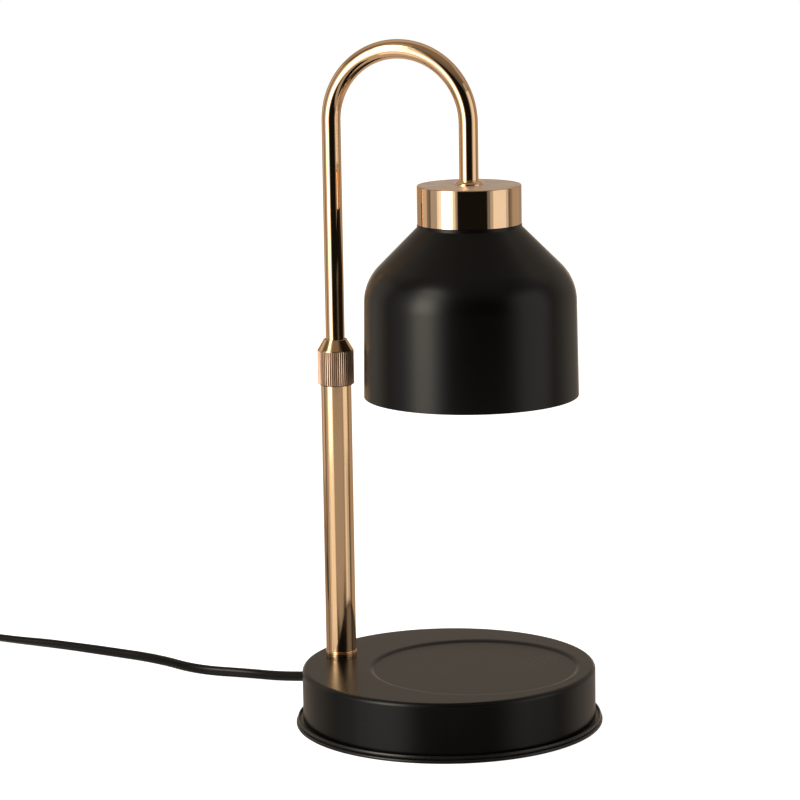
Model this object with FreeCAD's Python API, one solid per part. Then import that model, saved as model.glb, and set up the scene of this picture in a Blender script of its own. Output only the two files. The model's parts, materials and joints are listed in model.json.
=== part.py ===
import FreeCAD, Part

# Candle warmer lamp: a weighted round base with a shallow dish for the candle jar, a two-part telescopic
# mast with a knurled clamp nut, and a bent arm that holds a bell shade with a twist-lock bulb over the
# dish.
# Millimetres, +Z up. The origin is on the table, under the centre of the base.
# +X points from the mast to the shade.

import math
import os

V = FreeCAD.Vector
UP = V(0, 0, 1)

# ---- driving dimensions --------------------------------------------------------------------------
MAST_X = -54.5  # axis of the mast
SHADE_X = 13.0  # axis of the shade, the bulb and the dish
SHEET = 1.2  # sheet of the base
BASE_R = 69.5
BASE_TOP = 27.5
TRIM_R = 72.8
DISH_R, DISH_EDGE, DISH_DEPTH = 47.5, 50.3, 0.9
POLE_R, POLE_BORE = 7.2, 6.2
POLE_TOP = 161.0
ARM_R, ARM_BORE = 4.5, 3.7
ARM_FOOT = 126.5  # lower end of the arm tube, inside the pole
ARM_BEND_Z = 284.75  # where the straight legs of the arm meet its half round
ARM_END = 247.0  # end of the arm tube, inside the cap
NUT_R, NUT_FOOT, NUT_SHOULDER, NUT_TOP = 8.55, 160.0, 176.6, 181.85
CAP_R, CAP_FOOT, CAP_TOP = 24.35, 238.5, 256.5
SHADE_RIM_R, SHADE_RIM_Z = 50.1, 157.9
SHADE_WALL = 1.0
BULB_TOP = 223.8
RUNNING = 0.06  # radial clearance of a running fit

# ---- worked out from them ------------------------------------------------------------------------
BEND_R = (SHADE_X - MAST_X) / 2
BEND_X = (SHADE_X + MAST_X) / 2
DISH_FLOOR = BASE_TOP - DISH_DEPTH
TOP_UNDERSIDE = BASE_TOP - SHEET
DISH_UNDERSIDE = DISH_FLOOR - SHEET
INNER_R = BASE_R - SHEET

# bottom of the base, from the table up
PAD_TOP, PLATE_T, TRIM_FLANGE_T = 1.2, 0.8, 0.6
PLATE_TOP = PAD_TOP + PLATE_T
WALL_FOOT = PLATE_TOP + TRIM_FLANGE_T
PLATE_RISE = 2.2  # the middle of the plate is raised, so that screw heads clear the table
PLATE_MID_TOP = PLATE_TOP + PLATE_RISE
PLATE_MID_FOOT = PLATE_MID_TOP - PLATE_T
WEIGHT_TOP = PLATE_MID_TOP + 8.0
SCREW_CIRCLE = 30.0
SCREW_ANGLES = (0, 120, 240)

# cord: where it leaves the rear wall of the base, and how
CORD_R = 2.5
EXIT_ANGLE, EXIT_TILT, EXIT_Z = 160.0, 9.0, 10.0
BOOT_LENGTH = 20.0
EXIT_DIR = V(
    math.cos(math.radians(EXIT_ANGLE)) * math.cos(math.radians(EXIT_TILT)),
    math.sin(math.radians(EXIT_ANGLE)) * math.cos(math.radians(EXIT_TILT)),
    -math.sin(math.radians(EXIT_TILT)),
)
EXIT_POINT = V(
    BASE_R * math.cos(math.radians(EXIT_ANGLE)), BASE_R * math.sin(math.radians(EXIT_ANGLE)), EXIT_Z
)
BOOT_TIP = EXIT_POINT + EXIT_DIR * BOOT_LENGTH
CORD_INNER_LENGTH = 26.0  # from the wall to the wire joints
CORD_INNER_END = EXIT_POINT - EXIT_DIR * CORD_INNER_LENGTH

# dimmer on the cord, its long side along X
DIMMER = V(-357.0, 72.0, 0)
DIMMER_LONG, DIMMER_WIDE, DIMMER_HIGH, DIMMER_SPLIT, DIMMER_WALL = 66.0, 32.0, 20.0, 10.0, 1.8
DIMMER_CORD_Z = 6.2
DIMMER_IN_X = DIMMER.x + DIMMER_LONG / 2 + BOOT_LENGTH
DIMMER_OUT_X = DIMMER.x - DIMMER_LONG / 2 - BOOT_LENGTH
WHEEL_R = 11.0

# the put-away length of the cord and the plug beside it
COIL = V(-312.0, -22.0, 0)
COIL_TURN_R = 27.5  # middle of the turns
COIL_HALF_WIDTH, COIL_HIGH = 7.7, 14.6
COIL_OUTER_TURN_R = COIL_TURN_R + 2 * CORD_R
PLUG_Z = 6.85
PLUG_Y = COIL.y - COIL_OUTER_TURN_R
PLUG_TAIL_X, PLUG_TAIL, PLUG_BODY, PLUG_WIDE, PLUG_HIGH = -357.0, 22.0, 36.0, 35.3, 13.7
PIN_R, PIN_LENGTH, PIN_SPACING = 2.0, 19.0, 18.6

# the cord's route, chosen by hand: on the table at the height of its own radius, up to each strain relief
RUN_ROUTE = [
    BOOT_TIP,
    V(-100.0, 36.2, 4.0),
    V(-120.5, 42.0, 2.5),
    V(-148.0, 40.6, 2.5),
    V(-176.0, 54.5, 2.5),
    V(-206.0, 60.6, 2.5),
    V(-238.0, 66.6, 2.5),
    V(-266.0, 69.4, 2.5),
    V(-286.0, 71.8, 3.0),
    V(DIMMER_IN_X, DIMMER.y, DIMMER_CORD_Z),
]
TAIL_ROUTE = [
    V(DIMMER_OUT_X, DIMMER.y, DIMMER_CORD_Z),
    V(-429.0, 72.0, 3.4),
    V(-445.2, 60.2, 2.5),
    V(-451.4, 41.2, 2.5),
    V(-445.2, 22.2, 2.5),
    V(-429.0, 10.4, 2.5),
    V(-401.0, 9.0, 2.5),
    V(-361.5, 12.0, 2.5),
    V(-322.5, COIL.y + COIL_OUTER_TURN_R, 2.5),
]
PLUG_ROUTE = [
    V(-322.0, PLUG_Y, 9.6),
    V(-340.0, PLUG_Y - 0.6, 7.6),
    V(PLUG_TAIL_X, PLUG_Y, PLUG_Z),
]


# ---- shapes --------------------------------------------------------------------------------------
def rod(start, end, radius):
    """Cylinder from one point to another."""
    along = end - start
    return Part.makeCylinder(radius, along.Length, start, along)


def taper(start, end, start_radius, end_radius):
    """Cone frustum from one point to another."""
    along = end - start
    return Part.makeCone(start_radius, end_radius, along.Length, start, along)


def disc(radius, low, high, x=0.0, y=0.0):
    """Upright cylinder between two heights."""
    return rod(V(x, y, low), V(x, y, high), radius)


def ring(outer, inner, low, high, x=0.0, y=0.0):
    """Upright tube between two heights."""
    return disc(outer, low, high, x, y).cut(disc(inner, low - 1, high + 1, x, y))


def block(low, high):
    """Box between its lowest and highest corners."""
    size = high - low
    return Part.makeBox(size.x, size.y, size.z, low)


def fused(shapes):
    """One shape from several that touch or overlap."""
    return shapes[0].multiFuse(shapes[1:]).removeSplitter()


def turned(outline, x=0.0, start=0.0, sweep=360.0):
    """Solid turned about the upright axis at x. The outline is a closed list of (radius, height) points,
    and a step of two points, ((middle), (end)), is an arc through the first to the second."""
    edges = []
    here = outline[0]
    for step in outline[1:] + [outline[0]]:
        if isinstance(step[0], tuple):
            middle, there = step
            arc = Part.Arc(V(here[0], 0, here[1]), V(middle[0], 0, middle[1]), V(there[0], 0, there[1]))
            edges.append(arc.toShape())
        else:
            there = step
            if math.dist(here, there) > 1e-6:
                edges.append(Part.LineSegment(V(here[0], 0, here[1]), V(there[0], 0, there[1])).toShape())
        here = there
    face = Part.Face(Part.Wire(edges))
    solid = face.revolve(V(0, 0, 0), UP, sweep)
    solid.rotate(V(0, 0, 0), UP, start)
    solid.translate(V(x, 0, 0))
    return solid if solid.Volume > 0 else solid.reversed()


def hexagon(across_flats, low, high, x=0.0, y=0.0):
    """Upright hexagonal prism between two heights."""
    corner = across_flats / math.sqrt(3)
    points = [
        V(x + corner * math.cos(math.radians(60 * i)), y + corner * math.sin(math.radians(60 * i)), low)
        for i in range(7)
    ]
    return Part.Face(Part.makePolygon(points)).extrude(V(0, 0, high - low))


def swept(wire, radius):
    """Round tube along a wire whose first edge is straight."""
    start = wire.OrderedVertexes[0].Point
    heading = wire.OrderedEdges[0].tangentAt(wire.OrderedEdges[0].FirstParameter)
    section = Part.Wire([Part.makeCircle(radius, start, heading)])
    return wire.makePipeShell([section], True, False)


def route_wire(points):
    """Straight runs joined by tangent arcs, each as large as its two runs allow, and the arcs' radii."""
    edges, radii, here = [], [], points[0]
    for before, corner, after in zip(points, points[1:], points[2:]):
        back, on = before - corner, after - corner
        reach = 0.45 * min(back.Length, on.Length)
        back.normalize()
        on.normalize()
        half_turn = (math.pi - back.getAngle(on)) / 2
        radius = reach / math.tan(half_turn)
        inward = (back + on).normalize()
        centre = corner + inward * (radius / math.cos(half_turn))
        first, last = corner + back * reach, corner + on * reach
        edges.append(Part.LineSegment(here, first).toShape())
        edges.append(Part.Arc(first, centre - inward * radius, last).toShape())
        radii.append(radius)
        here = last
    edges.append(Part.LineSegment(here, points[-1]).toShape())
    return Part.Wire(edges), radii


def cord_tube(name, points, *ends):
    """A stretch of the cord, trimmed to the pieces that it ends at. Its radii and length are printed, and
    its volume is tested against them."""
    wire, radii = route_wire(points)
    tube = swept(wire, CORD_R)
    wanted = math.pi * CORD_R**2 * wire.Length
    print(name, "radii", [round(r) for r in radii], "length", round(wire.Length, 1))
    assert abs(tube.Volume / wanted - 1) < 0.002, name
    for end in ends:
        tube = tube.cut(end)
    return tube


def arm_wire(y=0.0, foot=ARM_FOOT, end=ARM_END):
    """Centre line of the arm: up from the mast, over a half round and down to the cap."""
    up = Part.LineSegment(V(MAST_X, y, foot), V(MAST_X, y, ARM_BEND_Z))
    over = Part.Arc(V(MAST_X, y, ARM_BEND_Z), V(BEND_X, y, ARM_BEND_Z + BEND_R), V(SHADE_X, y, ARM_BEND_Z))
    down = Part.LineSegment(V(SHADE_X, y, ARM_BEND_Z), V(SHADE_X, y, end))
    return Part.Wire([up.toShape(), over.toShape(), down.toShape()])


def around(angles, circle, z, x=0.0):
    """Points on a circle at some angles in degrees."""
    turns = [math.radians(a) for a in angles]
    return [V(x + circle * math.cos(a), circle * math.sin(a), z) for a in turns]


def pan_screw(seat, up, head_r, head_h, shank_r, shank):
    """Pan-head screw with a cross recess. seat is the middle of the head's bearing face, up the way in."""
    head = rod(seat - up * head_h, seat, head_r)
    rims = [e for e in head.Edges if is_head_rim(e, seat - up * head_h, head_r)]
    head = head.makeFillet(head_h * 0.45, rims)
    screw = head.fuse(rod(seat - up * 0.1, seat + up * shank, shank_r)).removeSplitter()
    side = up.cross(V(1, 0, 0) if abs(up.x) < 0.5 else V(0, 1, 0)).normalize()
    for arm in (side, up.cross(side)):
        slot_half, slot_wide, slot_deep = head_r * 0.55, head_r * 0.2, head_h * 0.45
        across = up.cross(arm).normalize()
        corner = seat - up * (head_h + 1) - arm * slot_half - across * slot_wide
        base = Part.makePolygon(
            [
                corner,
                corner + arm * 2 * slot_half,
                corner + arm * 2 * slot_half + across * 2 * slot_wide,
                corner + across * 2 * slot_wide,
                corner,
            ]
        )
        screw = screw.cut(Part.Face(base).extrude(up * (slot_deep + 1)))
    return screw


def is_head_rim(edge, centre, radius):
    """Is this edge the rim of the head's outer face?"""
    curve = edge.Curve
    if not isinstance(curve, Part.Circle):
        return False
    return abs(curve.Radius - radius) < 1e-6 and curve.Center.distanceToPoint(centre) < 1e-6


# ---- base ----------------------------------------------------------------------------------------
def dish_panel():
    """The pressed dish for the candle jar: a sheet disc whose edge rises in two equal arcs."""
    edge_fit_r = DISH_EDGE + 0.5
    width = DISH_EDGE - DISH_R
    arc_r = (width**2 + DISH_DEPTH**2) / (4 * DISH_DEPTH)
    slope = math.asin(width / 2 / arc_r)
    high_centre = (DISH_EDGE, BASE_TOP - arc_r)
    low_centre = (DISH_R, DISH_FLOOR + arc_r)

    def on_arc(centre, radius, angle, side):
        return (centre[0] + side * radius * math.sin(angle), centre[1] - side * radius * math.cos(angle))

    top_mid = on_arc(low_centre, arc_r, slope, 1)
    foot_mid = on_arc(low_centre, arc_r + SHEET, slope, 1)
    return turned(
        [
            (0, DISH_FLOOR),
            (DISH_R, DISH_FLOOR),
            (on_arc(low_centre, arc_r, slope / 2, 1), top_mid),
            (on_arc(high_centre, arc_r, slope / 2, -1), (DISH_EDGE, BASE_TOP)),
            (edge_fit_r, BASE_TOP),
            (edge_fit_r, TOP_UNDERSIDE),
            (DISH_EDGE, TOP_UNDERSIDE),
            (on_arc(high_centre, arc_r - SHEET, slope / 2, -1), foot_mid),
            (on_arc(low_centre, arc_r + SHEET, slope / 2, 1), (DISH_R, DISH_UNDERSIDE)),
            (0, DISH_UNDERSIDE),
        ],
        SHADE_X,
    ), edge_fit_r


def base_housing():
    """Drawn sheet cover with a rounded top edge, the dish, the mast's hole and the cord's hole."""
    edge, inner_edge = 2.0, 0.8
    k = 1 - math.sqrt(0.5)
    cover = turned(
        [
            (0, BASE_TOP),
            (BASE_R - edge, BASE_TOP),
            ((BASE_R - edge * k, BASE_TOP - edge * k), (BASE_R, BASE_TOP - edge)),
            (BASE_R, WALL_FOOT),
            (INNER_R, WALL_FOOT),
            (INNER_R, TOP_UNDERSIDE - inner_edge),
            (
                (INNER_R - inner_edge * k, TOP_UNDERSIDE - inner_edge * k),
                (INNER_R - inner_edge, TOP_UNDERSIDE),
            ),
            (0, TOP_UNDERSIDE),
        ]
    )
    panel, panel_r = dish_panel()
    cover = cover.cut(disc(panel_r, TOP_UNDERSIDE - 1, BASE_TOP + 1, SHADE_X)).fuse(panel).removeSplitter()
    cover = cover.cut(disc(NIPPLE_R + 0.1, TOP_UNDERSIDE - 1, BASE_TOP + 1, MAST_X))
    return cover.cut(rod(EXIT_POINT - EXIT_DIR * 4, EXIT_POINT + EXIT_DIR * 4, BOOT_NECK_R))


def base_rim_trim():
    """Soft ring around the foot of the wall: a flange gripped under it, and a standing double bead."""
    lip_in, lip_top, lip_foot, groove_z, groove = 71.0, 3.6, 0.2, 1.75, 0.35
    upper_r = TRIM_R - 0.2
    return turned(
        [
            (66.0, PLATE_TOP),
            (70.4, PLATE_TOP),
            (70.4, lip_foot),
            (TRIM_R - 0.6, lip_foot),
            ((TRIM_R - 0.1, lip_foot + 0.3), (TRIM_R, lip_foot + 0.8)),
            (TRIM_R - groove, groove_z),
            ((upper_r, groove_z + 0.8), (TRIM_R - 0.75, lip_top)),
            ((lip_in + 0.3, lip_top), (lip_in, lip_top - 0.3)),
            (lip_in, WALL_FOOT),
            (66.0, WALL_FOOT),
        ]
    )


def base_plate():
    """Sheet that closes the base from below, raised in the middle."""
    step_out, step_in = 60.0, 57.5
    plate = turned(
        [
            (0, PLATE_MID_TOP),
            (step_in, PLATE_MID_TOP),
            (step_out, PLATE_TOP),
            (70.2, PLATE_TOP),
            (70.2, PAD_TOP),
            (step_out - 0.4, PAD_TOP),
            (step_in - 0.4, PLATE_MID_FOOT),
            (0, PLATE_MID_FOOT),
        ]
    )
    for p in around(SCREW_ANGLES, SCREW_CIRCLE, PLATE_MID_FOOT - 1):
        plate = plate.cut(rod(p, p + UP * 4, 2.2))
    return plate.cut(rod(clamp_seat() - UP, clamp_seat() + UP * 4, 1.8))


def base_counterweight():
    """Cast disc on the plate, bored for the three long screws and clear of the mast's nut."""
    weight = turned(
        [
            (0, PLATE_MID_TOP),
            (43.4, PLATE_MID_TOP),
            (44.0, PLATE_MID_TOP + 0.6),
            (44.0, WEIGHT_TOP - 1.0),
            (43.0, WEIGHT_TOP),
            (0, WEIGHT_TOP),
        ],
        8.0,
    )
    for p in around(SCREW_ANGLES, SCREW_CIRCLE, PLATE_MID_TOP - 1):
        weight = weight.cut(rod(p, p + UP * 12, 2.3))
    return weight


def base_standoffs():
    """Three tapped posts welded under the dish."""
    posts = []
    for p in around(SCREW_ANGLES, SCREW_CIRCLE, WEIGHT_TOP):
        post = rod(p, V(p.x, p.y, DISH_UNDERSIDE), 4.0)
        posts.append(post.cut(rod(p - UP, p + UP * 10.0, 1.75)))
    return Part.makeCompound(posts)


def base_screws():
    """Three long screws through the plate and the counterweight into the posts."""
    seats = around(SCREW_ANGLES, SCREW_CIRCLE, PLATE_MID_FOOT)
    return Part.makeCompound([pan_screw(p, UP, 3.4, 1.9, 1.7, 17.0) for p in seats])


# ---- mast ----------------------------------------------------------------------------------------
NIPPLE_R, NIPPLE_BORE = 5.0, 3.6
FOOT_R, FOOT_TOP, FOOT_PLUG_TOP = 7.4, 30.9, 42.0
BUSH_FOOT, BUSH_SHOULDER, BUSH_TOP, BUSH_THREAD_R = 153.0, 162.0, 173.5, 6.6
SEAT_Z, COLLET_TOP = 171.6, 176.0  # the collet stands in the bush's cone seat
CLAMP_RING_TOP = 177.4
NUT_STEP = BUSH_SHOULDER + 0.6  # where the nut's bore narrows to its thread


def pole_foot():
    """Turned foot of the mast: a flange on the base, and a tapped plug inside the tube."""
    return turned(
        [
            (NIPPLE_R, BASE_TOP),
            (FOOT_R - 0.4, BASE_TOP),
            ((FOOT_R - 0.1, BASE_TOP + 0.15), (FOOT_R, BASE_TOP + 0.5)),
            (FOOT_R, FOOT_TOP - 0.5),
            ((FOOT_R - 0.1, FOOT_TOP - 0.15), (FOOT_R - 0.4, FOOT_TOP)),
            (POLE_BORE, FOOT_TOP),
            (POLE_BORE, FOOT_PLUG_TOP),
            (NIPPLE_R, FOOT_PLUG_TOP),
        ],
        MAST_X,
    )


def pole_nut():
    """Hexagon nut under the top of the base."""
    nut = hexagon(16.0, 19.9, 24.9, MAST_X)
    return nut.cut(disc(NIPPLE_R, 19.0, 26.0, MAST_X))


def clamp_bush():
    """Threaded bush in the top of the outer tube, bored for the arm, with a cone seat for the collet."""
    bore = ARM_R + RUNNING
    return turned(
        [
            (bore, BUSH_FOOT),
            (POLE_BORE, BUSH_FOOT),
            (POLE_BORE, POLE_TOP),
            (POLE_R, POLE_TOP),
            (POLE_R, BUSH_SHOULDER),
            (BUSH_THREAD_R, BUSH_SHOULDER),
            (BUSH_THREAD_R, BUSH_TOP),
            (5.8, BUSH_TOP),
            (bore + 0.06, SEAT_Z),
            (bore, SEAT_Z),
        ],
        MAST_X,
    )


def clamp_collet():
    """Split ring that the nut squeezes onto the arm."""
    bore = ARM_R + RUNNING
    collet = turned(
        [
            (bore, SEAT_Z),
            (bore + 0.06, SEAT_Z),
            (5.8, BUSH_TOP),
            (6.3, BUSH_TOP),
            (6.3, COLLET_TOP),
            (bore, COLLET_TOP),
        ],
        MAST_X,
    )
    slit_half, slit_reach = 0.6, 8.0
    low, high = SEAT_Z - 1, COLLET_TOP + 1
    return collet.cut(block(V(MAST_X - slit_reach, -slit_half, low), V(MAST_X, slit_half, high)))


def clamp_ring():
    """Thrust ring between the collet and the shoulder inside the nut."""
    return ring(6.5, ARM_R + 0.3, COLLET_TOP, CLAMP_RING_TOP, MAST_X)


def clamp_nut():
    """Clamp nut with a straight grip, a polished cone and a stepped bore."""
    return turned(
        [
            (POLE_R + 0.15, NUT_FOOT),
            (NUT_R - 0.6, NUT_FOOT),
            (NUT_R, NUT_FOOT + 0.6),
            (NUT_R, NUT_SHOULDER),
            (5.35, NUT_TOP),
            (ARM_R + 0.3, NUT_TOP),
            (ARM_R + 0.3, CLAMP_RING_TOP + 0.05),
            (BUSH_THREAD_R + 0.08, CLAMP_RING_TOP + 0.05),
            (BUSH_THREAD_R + 0.08, NUT_STEP),
            (POLE_R + 0.15, NUT_STEP),
        ],
        MAST_X,
    )


# ---- arm -----------------------------------------------------------------------------------------
BUSH_LOW, BUSH_HIGH, CLIP_T = 129.0, 141.0, 0.9


def arm_tube():
    """Bent tube of the arm."""
    return swept(arm_wire(), ARM_R).cut(swept(arm_wire(0.0, ARM_FOOT - 1, ARM_END - 1), ARM_BORE))


def guide_bush():
    """Plastic sleeve that slides in the pole and in which the arm turns."""
    return ring(POLE_BORE - 0.08, ARM_R + RUNNING, BUSH_LOW, BUSH_HIGH, MAST_X)


def guide_clips():
    """Two snap rings on the arm, one each side of the sleeve."""
    clips = []
    for low in (BUSH_LOW - CLIP_T - 0.05, BUSH_HIGH + 0.05):
        clip = ring(5.4, ARM_R, low, low + CLIP_T, MAST_X)
        clips.append(clip.cut(block(V(MAST_X, -1.2, low - 1), V(MAST_X + 8, 1.2, low + 2))))
    return Part.makeCompound(clips)


def arm_ferrule():
    """Small domed collar brazed on the arm, which sits on the cap."""
    collar_r = 6.6
    return turned(
        [
            (ARM_R, CAP_TOP),
            (collar_r, CAP_TOP),
            (collar_r, CAP_TOP + 0.4),
            ((collar_r - 0.5, CAP_TOP + 1.2), (collar_r - 1.4, CAP_TOP + 1.7)),
            (ARM_R, CAP_TOP + 1.7),
        ],
        SHADE_X,
    )


def socket_cap():
    """Turned cup over the lampholder, with a sharp rounded edge."""
    edge = 0.6
    k = edge * (1 - math.sqrt(0.5))
    return turned(
        [
            (ARM_R + 0.1, CAP_TOP),
            (CAP_R - edge, CAP_TOP),
            ((CAP_R - k, CAP_TOP - k), (CAP_R, CAP_TOP - edge)),
            (CAP_R, CAP_FOOT),
            (CAP_R - 1.0, CAP_FOOT),
            (CAP_R - 1.0, CAP_TOP - 1.0),
            (ARM_R + 0.1, CAP_TOP - 1.0),
        ],
        SHADE_X,
    )


BRACKET_T, BRACKET_HALF, BRACKET_WIDE = 1.5, 20.5, 12.0
HOLDER_SCREW_Y = 17.5


def shade_bracket():
    """Bent strap under the cap: a web on the arm, two legs and two tapped feet on the shade."""
    top = CAP_TOP - 1.0
    half_wide = BRACKET_WIDE / 2
    low_x, high_x = SHADE_X - half_wide, SHADE_X + half_wide
    pieces = [block(V(low_x, -BRACKET_HALF, top - BRACKET_T), V(high_x, BRACKET_HALF, top))]
    for side in (-1, 1):
        outer, inner, toe = side * BRACKET_HALF, side * (BRACKET_HALF - BRACKET_T), side * 14.5
        leg, foot = (inner, top), (toe, CAP_FOOT + BRACKET_T)
        for far, z_high in (leg, foot):
            pieces.append(
                block(V(low_x, min(outer, far), CAP_FOOT), V(high_x, max(outer, far), z_high))
            )
    bracket = fused(pieces).cut(disc(ARM_R + 0.1, top - 3, top + 1, SHADE_X))
    for side in (-1, 1):
        bracket = bracket.cut(disc(1.5, CAP_FOOT - 1, CAP_FOOT + 3, SHADE_X, side * HOLDER_SCREW_Y))
    return bracket


def arm_end_nut():
    """Hexagon nut on the threaded end of the arm."""
    return hexagon(13.0, 248.5, 253.0, SHADE_X).cut(disc(ARM_R, 247.0, 254.0, SHADE_X))


def arm_end_washer():
    """Washer between that nut and the bracket."""
    return ring(7.5, ARM_R, 253.0, 254.0, SHADE_X)


def shade_outline(offset):
    """Points of the bell's outline at some distance inside its outer face, from the crown to the rim."""
    crown_r, neck_z, shoulder_r, arc_r = 24.4, CAP_FOOT - 1.5, 49.4, 23.5
    root = math.sqrt(0.5)
    arc_top = (shoulder_r - arc_r * (1 - root), neck_z - (shoulder_r - arc_r * (1 - root) - crown_r))
    centre = (arc_top[0] - arc_r * root, arc_top[1] - arc_r * root)
    radius = arc_r - offset
    bend = math.tan(math.radians(22.5)) * offset
    middle = math.radians(22.5)
    return {
        "crown": (crown_r - offset, CAP_FOOT - offset),
        "neck": (crown_r - offset, neck_z - bend),
        "arc_top": (centre[0] + radius * root, centre[1] + radius * root),
        "arc_mid": (centre[0] + radius * math.cos(middle), centre[1] + radius * math.sin(middle)),
        "arc_end": (centre[0] + radius, centre[1]),
        "rim": (SHADE_RIM_R - offset, SHADE_RIM_Z),
    }


def shade():
    """Spun bell: flat crown and short neck, cone, round shoulder, near-upright skirt and hemmed rim."""
    outer, inner = shade_outline(0.0), shade_outline(SHADE_WALL)
    hole_r, hem, hem_high = 14.2, 0.5, 2.2
    bell = turned(
        [
            (hole_r, CAP_FOOT),
            outer["crown"],
            outer["neck"],
            outer["arc_top"],
            (outer["arc_mid"], outer["arc_end"]),
            outer["rim"],
            (inner["rim"][0] - hem, SHADE_RIM_Z),
            (inner["rim"][0] - hem, SHADE_RIM_Z + hem_high),
            (inner["rim"][0], SHADE_RIM_Z + hem_high + 0.4),
            inner["arc_end"],
            (inner["arc_mid"], inner["arc_top"]),
            inner["neck"],
            inner["crown"],
            (hole_r, CAP_FOOT - SHADE_WALL),
        ],
        SHADE_X,
    )
    for side in (-1, 1):
        bell = bell.cut(disc(1.7, CAP_FOOT - 3, CAP_FOOT + 1, SHADE_X, side * HOLDER_SCREW_Y))
    return bell


HOLDER_FACE, HOLDER_FLANGE_LOW = 224.0, 233.5
KEY_R, KEY_HALF = 5.0, 2.8
TWIST = 30.0


def lampholder():
    """Ceramic holder: a flange under the crown, a boss inside the cap and two curved keyholes."""
    holder = turned(
        [
            (0, HOLDER_FACE),
            (13.0, HOLDER_FACE),
            (13.0, HOLDER_FLANGE_LOW),
            (21.0, HOLDER_FLANGE_LOW),
            (21.0, CAP_FOOT - SHADE_WALL),
            (13.5, CAP_FOOT - SHADE_WALL),
            (13.5, 242.0),
            (12.5, 243.0),
            (0, 243.0),
        ],
        SHADE_X,
    )
    margin = 33.0
    for at in (90, 270):
        pocket = [
            (KEY_R - KEY_HALF, HOLDER_FACE - 1),
            (KEY_R + KEY_HALF, HOLDER_FACE - 1),
            (KEY_R + KEY_HALF, 233.0),
            (KEY_R - KEY_HALF, 233.0),
        ]
        holder = holder.cut(turned(pocket, SHADE_X, at - TWIST - margin, TWIST + 2 * margin))
    for side in (-1, 1):
        holder = holder.cut(disc(1.7, HOLDER_FLANGE_LOW - 1, CAP_FOOT, SHADE_X, side * HOLDER_SCREW_Y))
        holder = holder.cut(disc(LEAD_R, 238.0, 244.0, SHADE_X, side * LEAD_Y))
    return holder


def lampholder_screws():
    """Two screws up through the holder's flange and the shade's crown into the bracket's feet."""
    seats = [V(SHADE_X, side * HOLDER_SCREW_Y, HOLDER_FLANGE_LOW) for side in (-1, 1)]
    return Part.makeCompound([pan_screw(p, UP, 2.75, 1.8, 1.45, 8.0) for p in seats])


# ---- bulb ----------------------------------------------------------------------------------------
def bulb_base():
    """Ceramic neck of the bulb."""
    return turned(
        [
            (0, BULB_TOP),
            (10.0, BULB_TOP),
            (11.0, BULB_TOP - 1),
            (11.0, 213.0),
            (12.8, 211.0),
            (12.8, 206.5),
            (10.0, 206.5),
            (10.0, 211.0),
            (5.0, 211.0),
            (5.0, 216.0),
            (0, 216.0),
        ],
        SHADE_X,
    )


def bulb_pins():
    """Two pins with mushroom heads, locked in the holder."""
    pins = []
    for side in (-1, 1):
        y = side * KEY_R
        pins.append(fused([disc(1.4, BULB_TOP, 228.2, SHADE_X, y), disc(2.4, 228.0, 231.4, SHADE_X, y)]))
    return Part.makeCompound(pins)


def bulb_reflector():
    """Pressed glass bowl."""
    return turned(
        [
            (7.0, 211.0),
            (10.0, 211.0),
            (10.0, 206.0),
            ((20.2, 192.5), (24.6, 182.0)),
            (25.0, 180.4),
            (23.4, 180.4),
            ((18.6, 192.5), (8.6, 205.0)),
            (7.0, 206.0),
        ],
        SHADE_X,
    )


def bulb_lens():
    """Domed front glass on the bowl's rim."""
    lowest, edge_r, edge_z, rim_z = 177.2, 24.2, 179.0, 180.4
    dome_r = (edge_r**2 + (edge_z - lowest) ** 2) / (2 * (edge_z - lowest))
    half = math.asin(edge_r / dome_r) / 2
    middle = (dome_r * math.sin(half), lowest + dome_r * (1 - math.cos(half)))
    return turned(
        [(0, lowest), (middle, (edge_r, edge_z)), (25.0, 180.0), (25.0, rim_z), (0, rim_z)],
        SHADE_X,
    )


def bulb_capsule():
    """The small burner inside the bowl, with a round tip and its seal in the neck."""
    seal_r, glass_r, tip_z = 3.0, 4.5, 190.0
    k = glass_r * math.sqrt(0.5)
    return turned(
        [
            (0, 216.0),
            (seal_r, 216.0),
            (seal_r, 206.0),
            (glass_r, 204.0),
            (glass_r, tip_z),
            ((k, tip_z - k), (0, tip_z - glass_r)),
        ],
        SHADE_X,
    )


# ---- leads ---------------------------------------------------------------------------------------
LEAD_R, LEAD_Y = 0.9, 1.6


def side_of_exit():
    """Level direction across the cord where it enters the base."""
    return UP.cross(EXIT_DIR).normalize()


def lamp_leads():
    """Two leads inside the arm, from its lower end to the lampholder."""
    return Part.makeCompound([swept(arm_wire(side * LEAD_Y, ARM_FOOT, 238.2), LEAD_R) for side in (-1, 1)])


def joint_ends(side):
    """Both ends of one crimped joint inside the base."""
    start = CORD_INNER_END + side_of_exit() * (side * LEAD_Y)
    return start, start - EXIT_DIR * 9.0


def pole_leads():
    """Two leads from the crimped joints, under the mast and up to the arm."""
    leads = []
    for side, turn_after in ((-1, 5.0), (1, 1.5)):
        # the two leads turn back one inside the other, so that they never cross
        joint_end = joint_ends(side)[1]
        y = side * LEAD_Y
        points = [
            joint_end,
            joint_end - EXIT_DIR * turn_after,
            V(-41.0, y, 14.5),
            V(MAST_X, y, 13.5),
            V(MAST_X, y, ARM_FOOT),
        ]
        pieces = [rod(a, b, LEAD_R) for a, b in zip(points, points[1:])]
        pieces += [Part.makeSphere(LEAD_R, p) for p in points[1:-1]]
        leads.append(fused(pieces).cut(wire_joints()))
    return Part.makeCompound(leads)


def wire_joints():
    """Two crimped joints between the cord and the lamp's own leads."""
    return Part.makeCompound([rod(*joint_ends(side), 1.5) for side in (-1, 1)])


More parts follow.
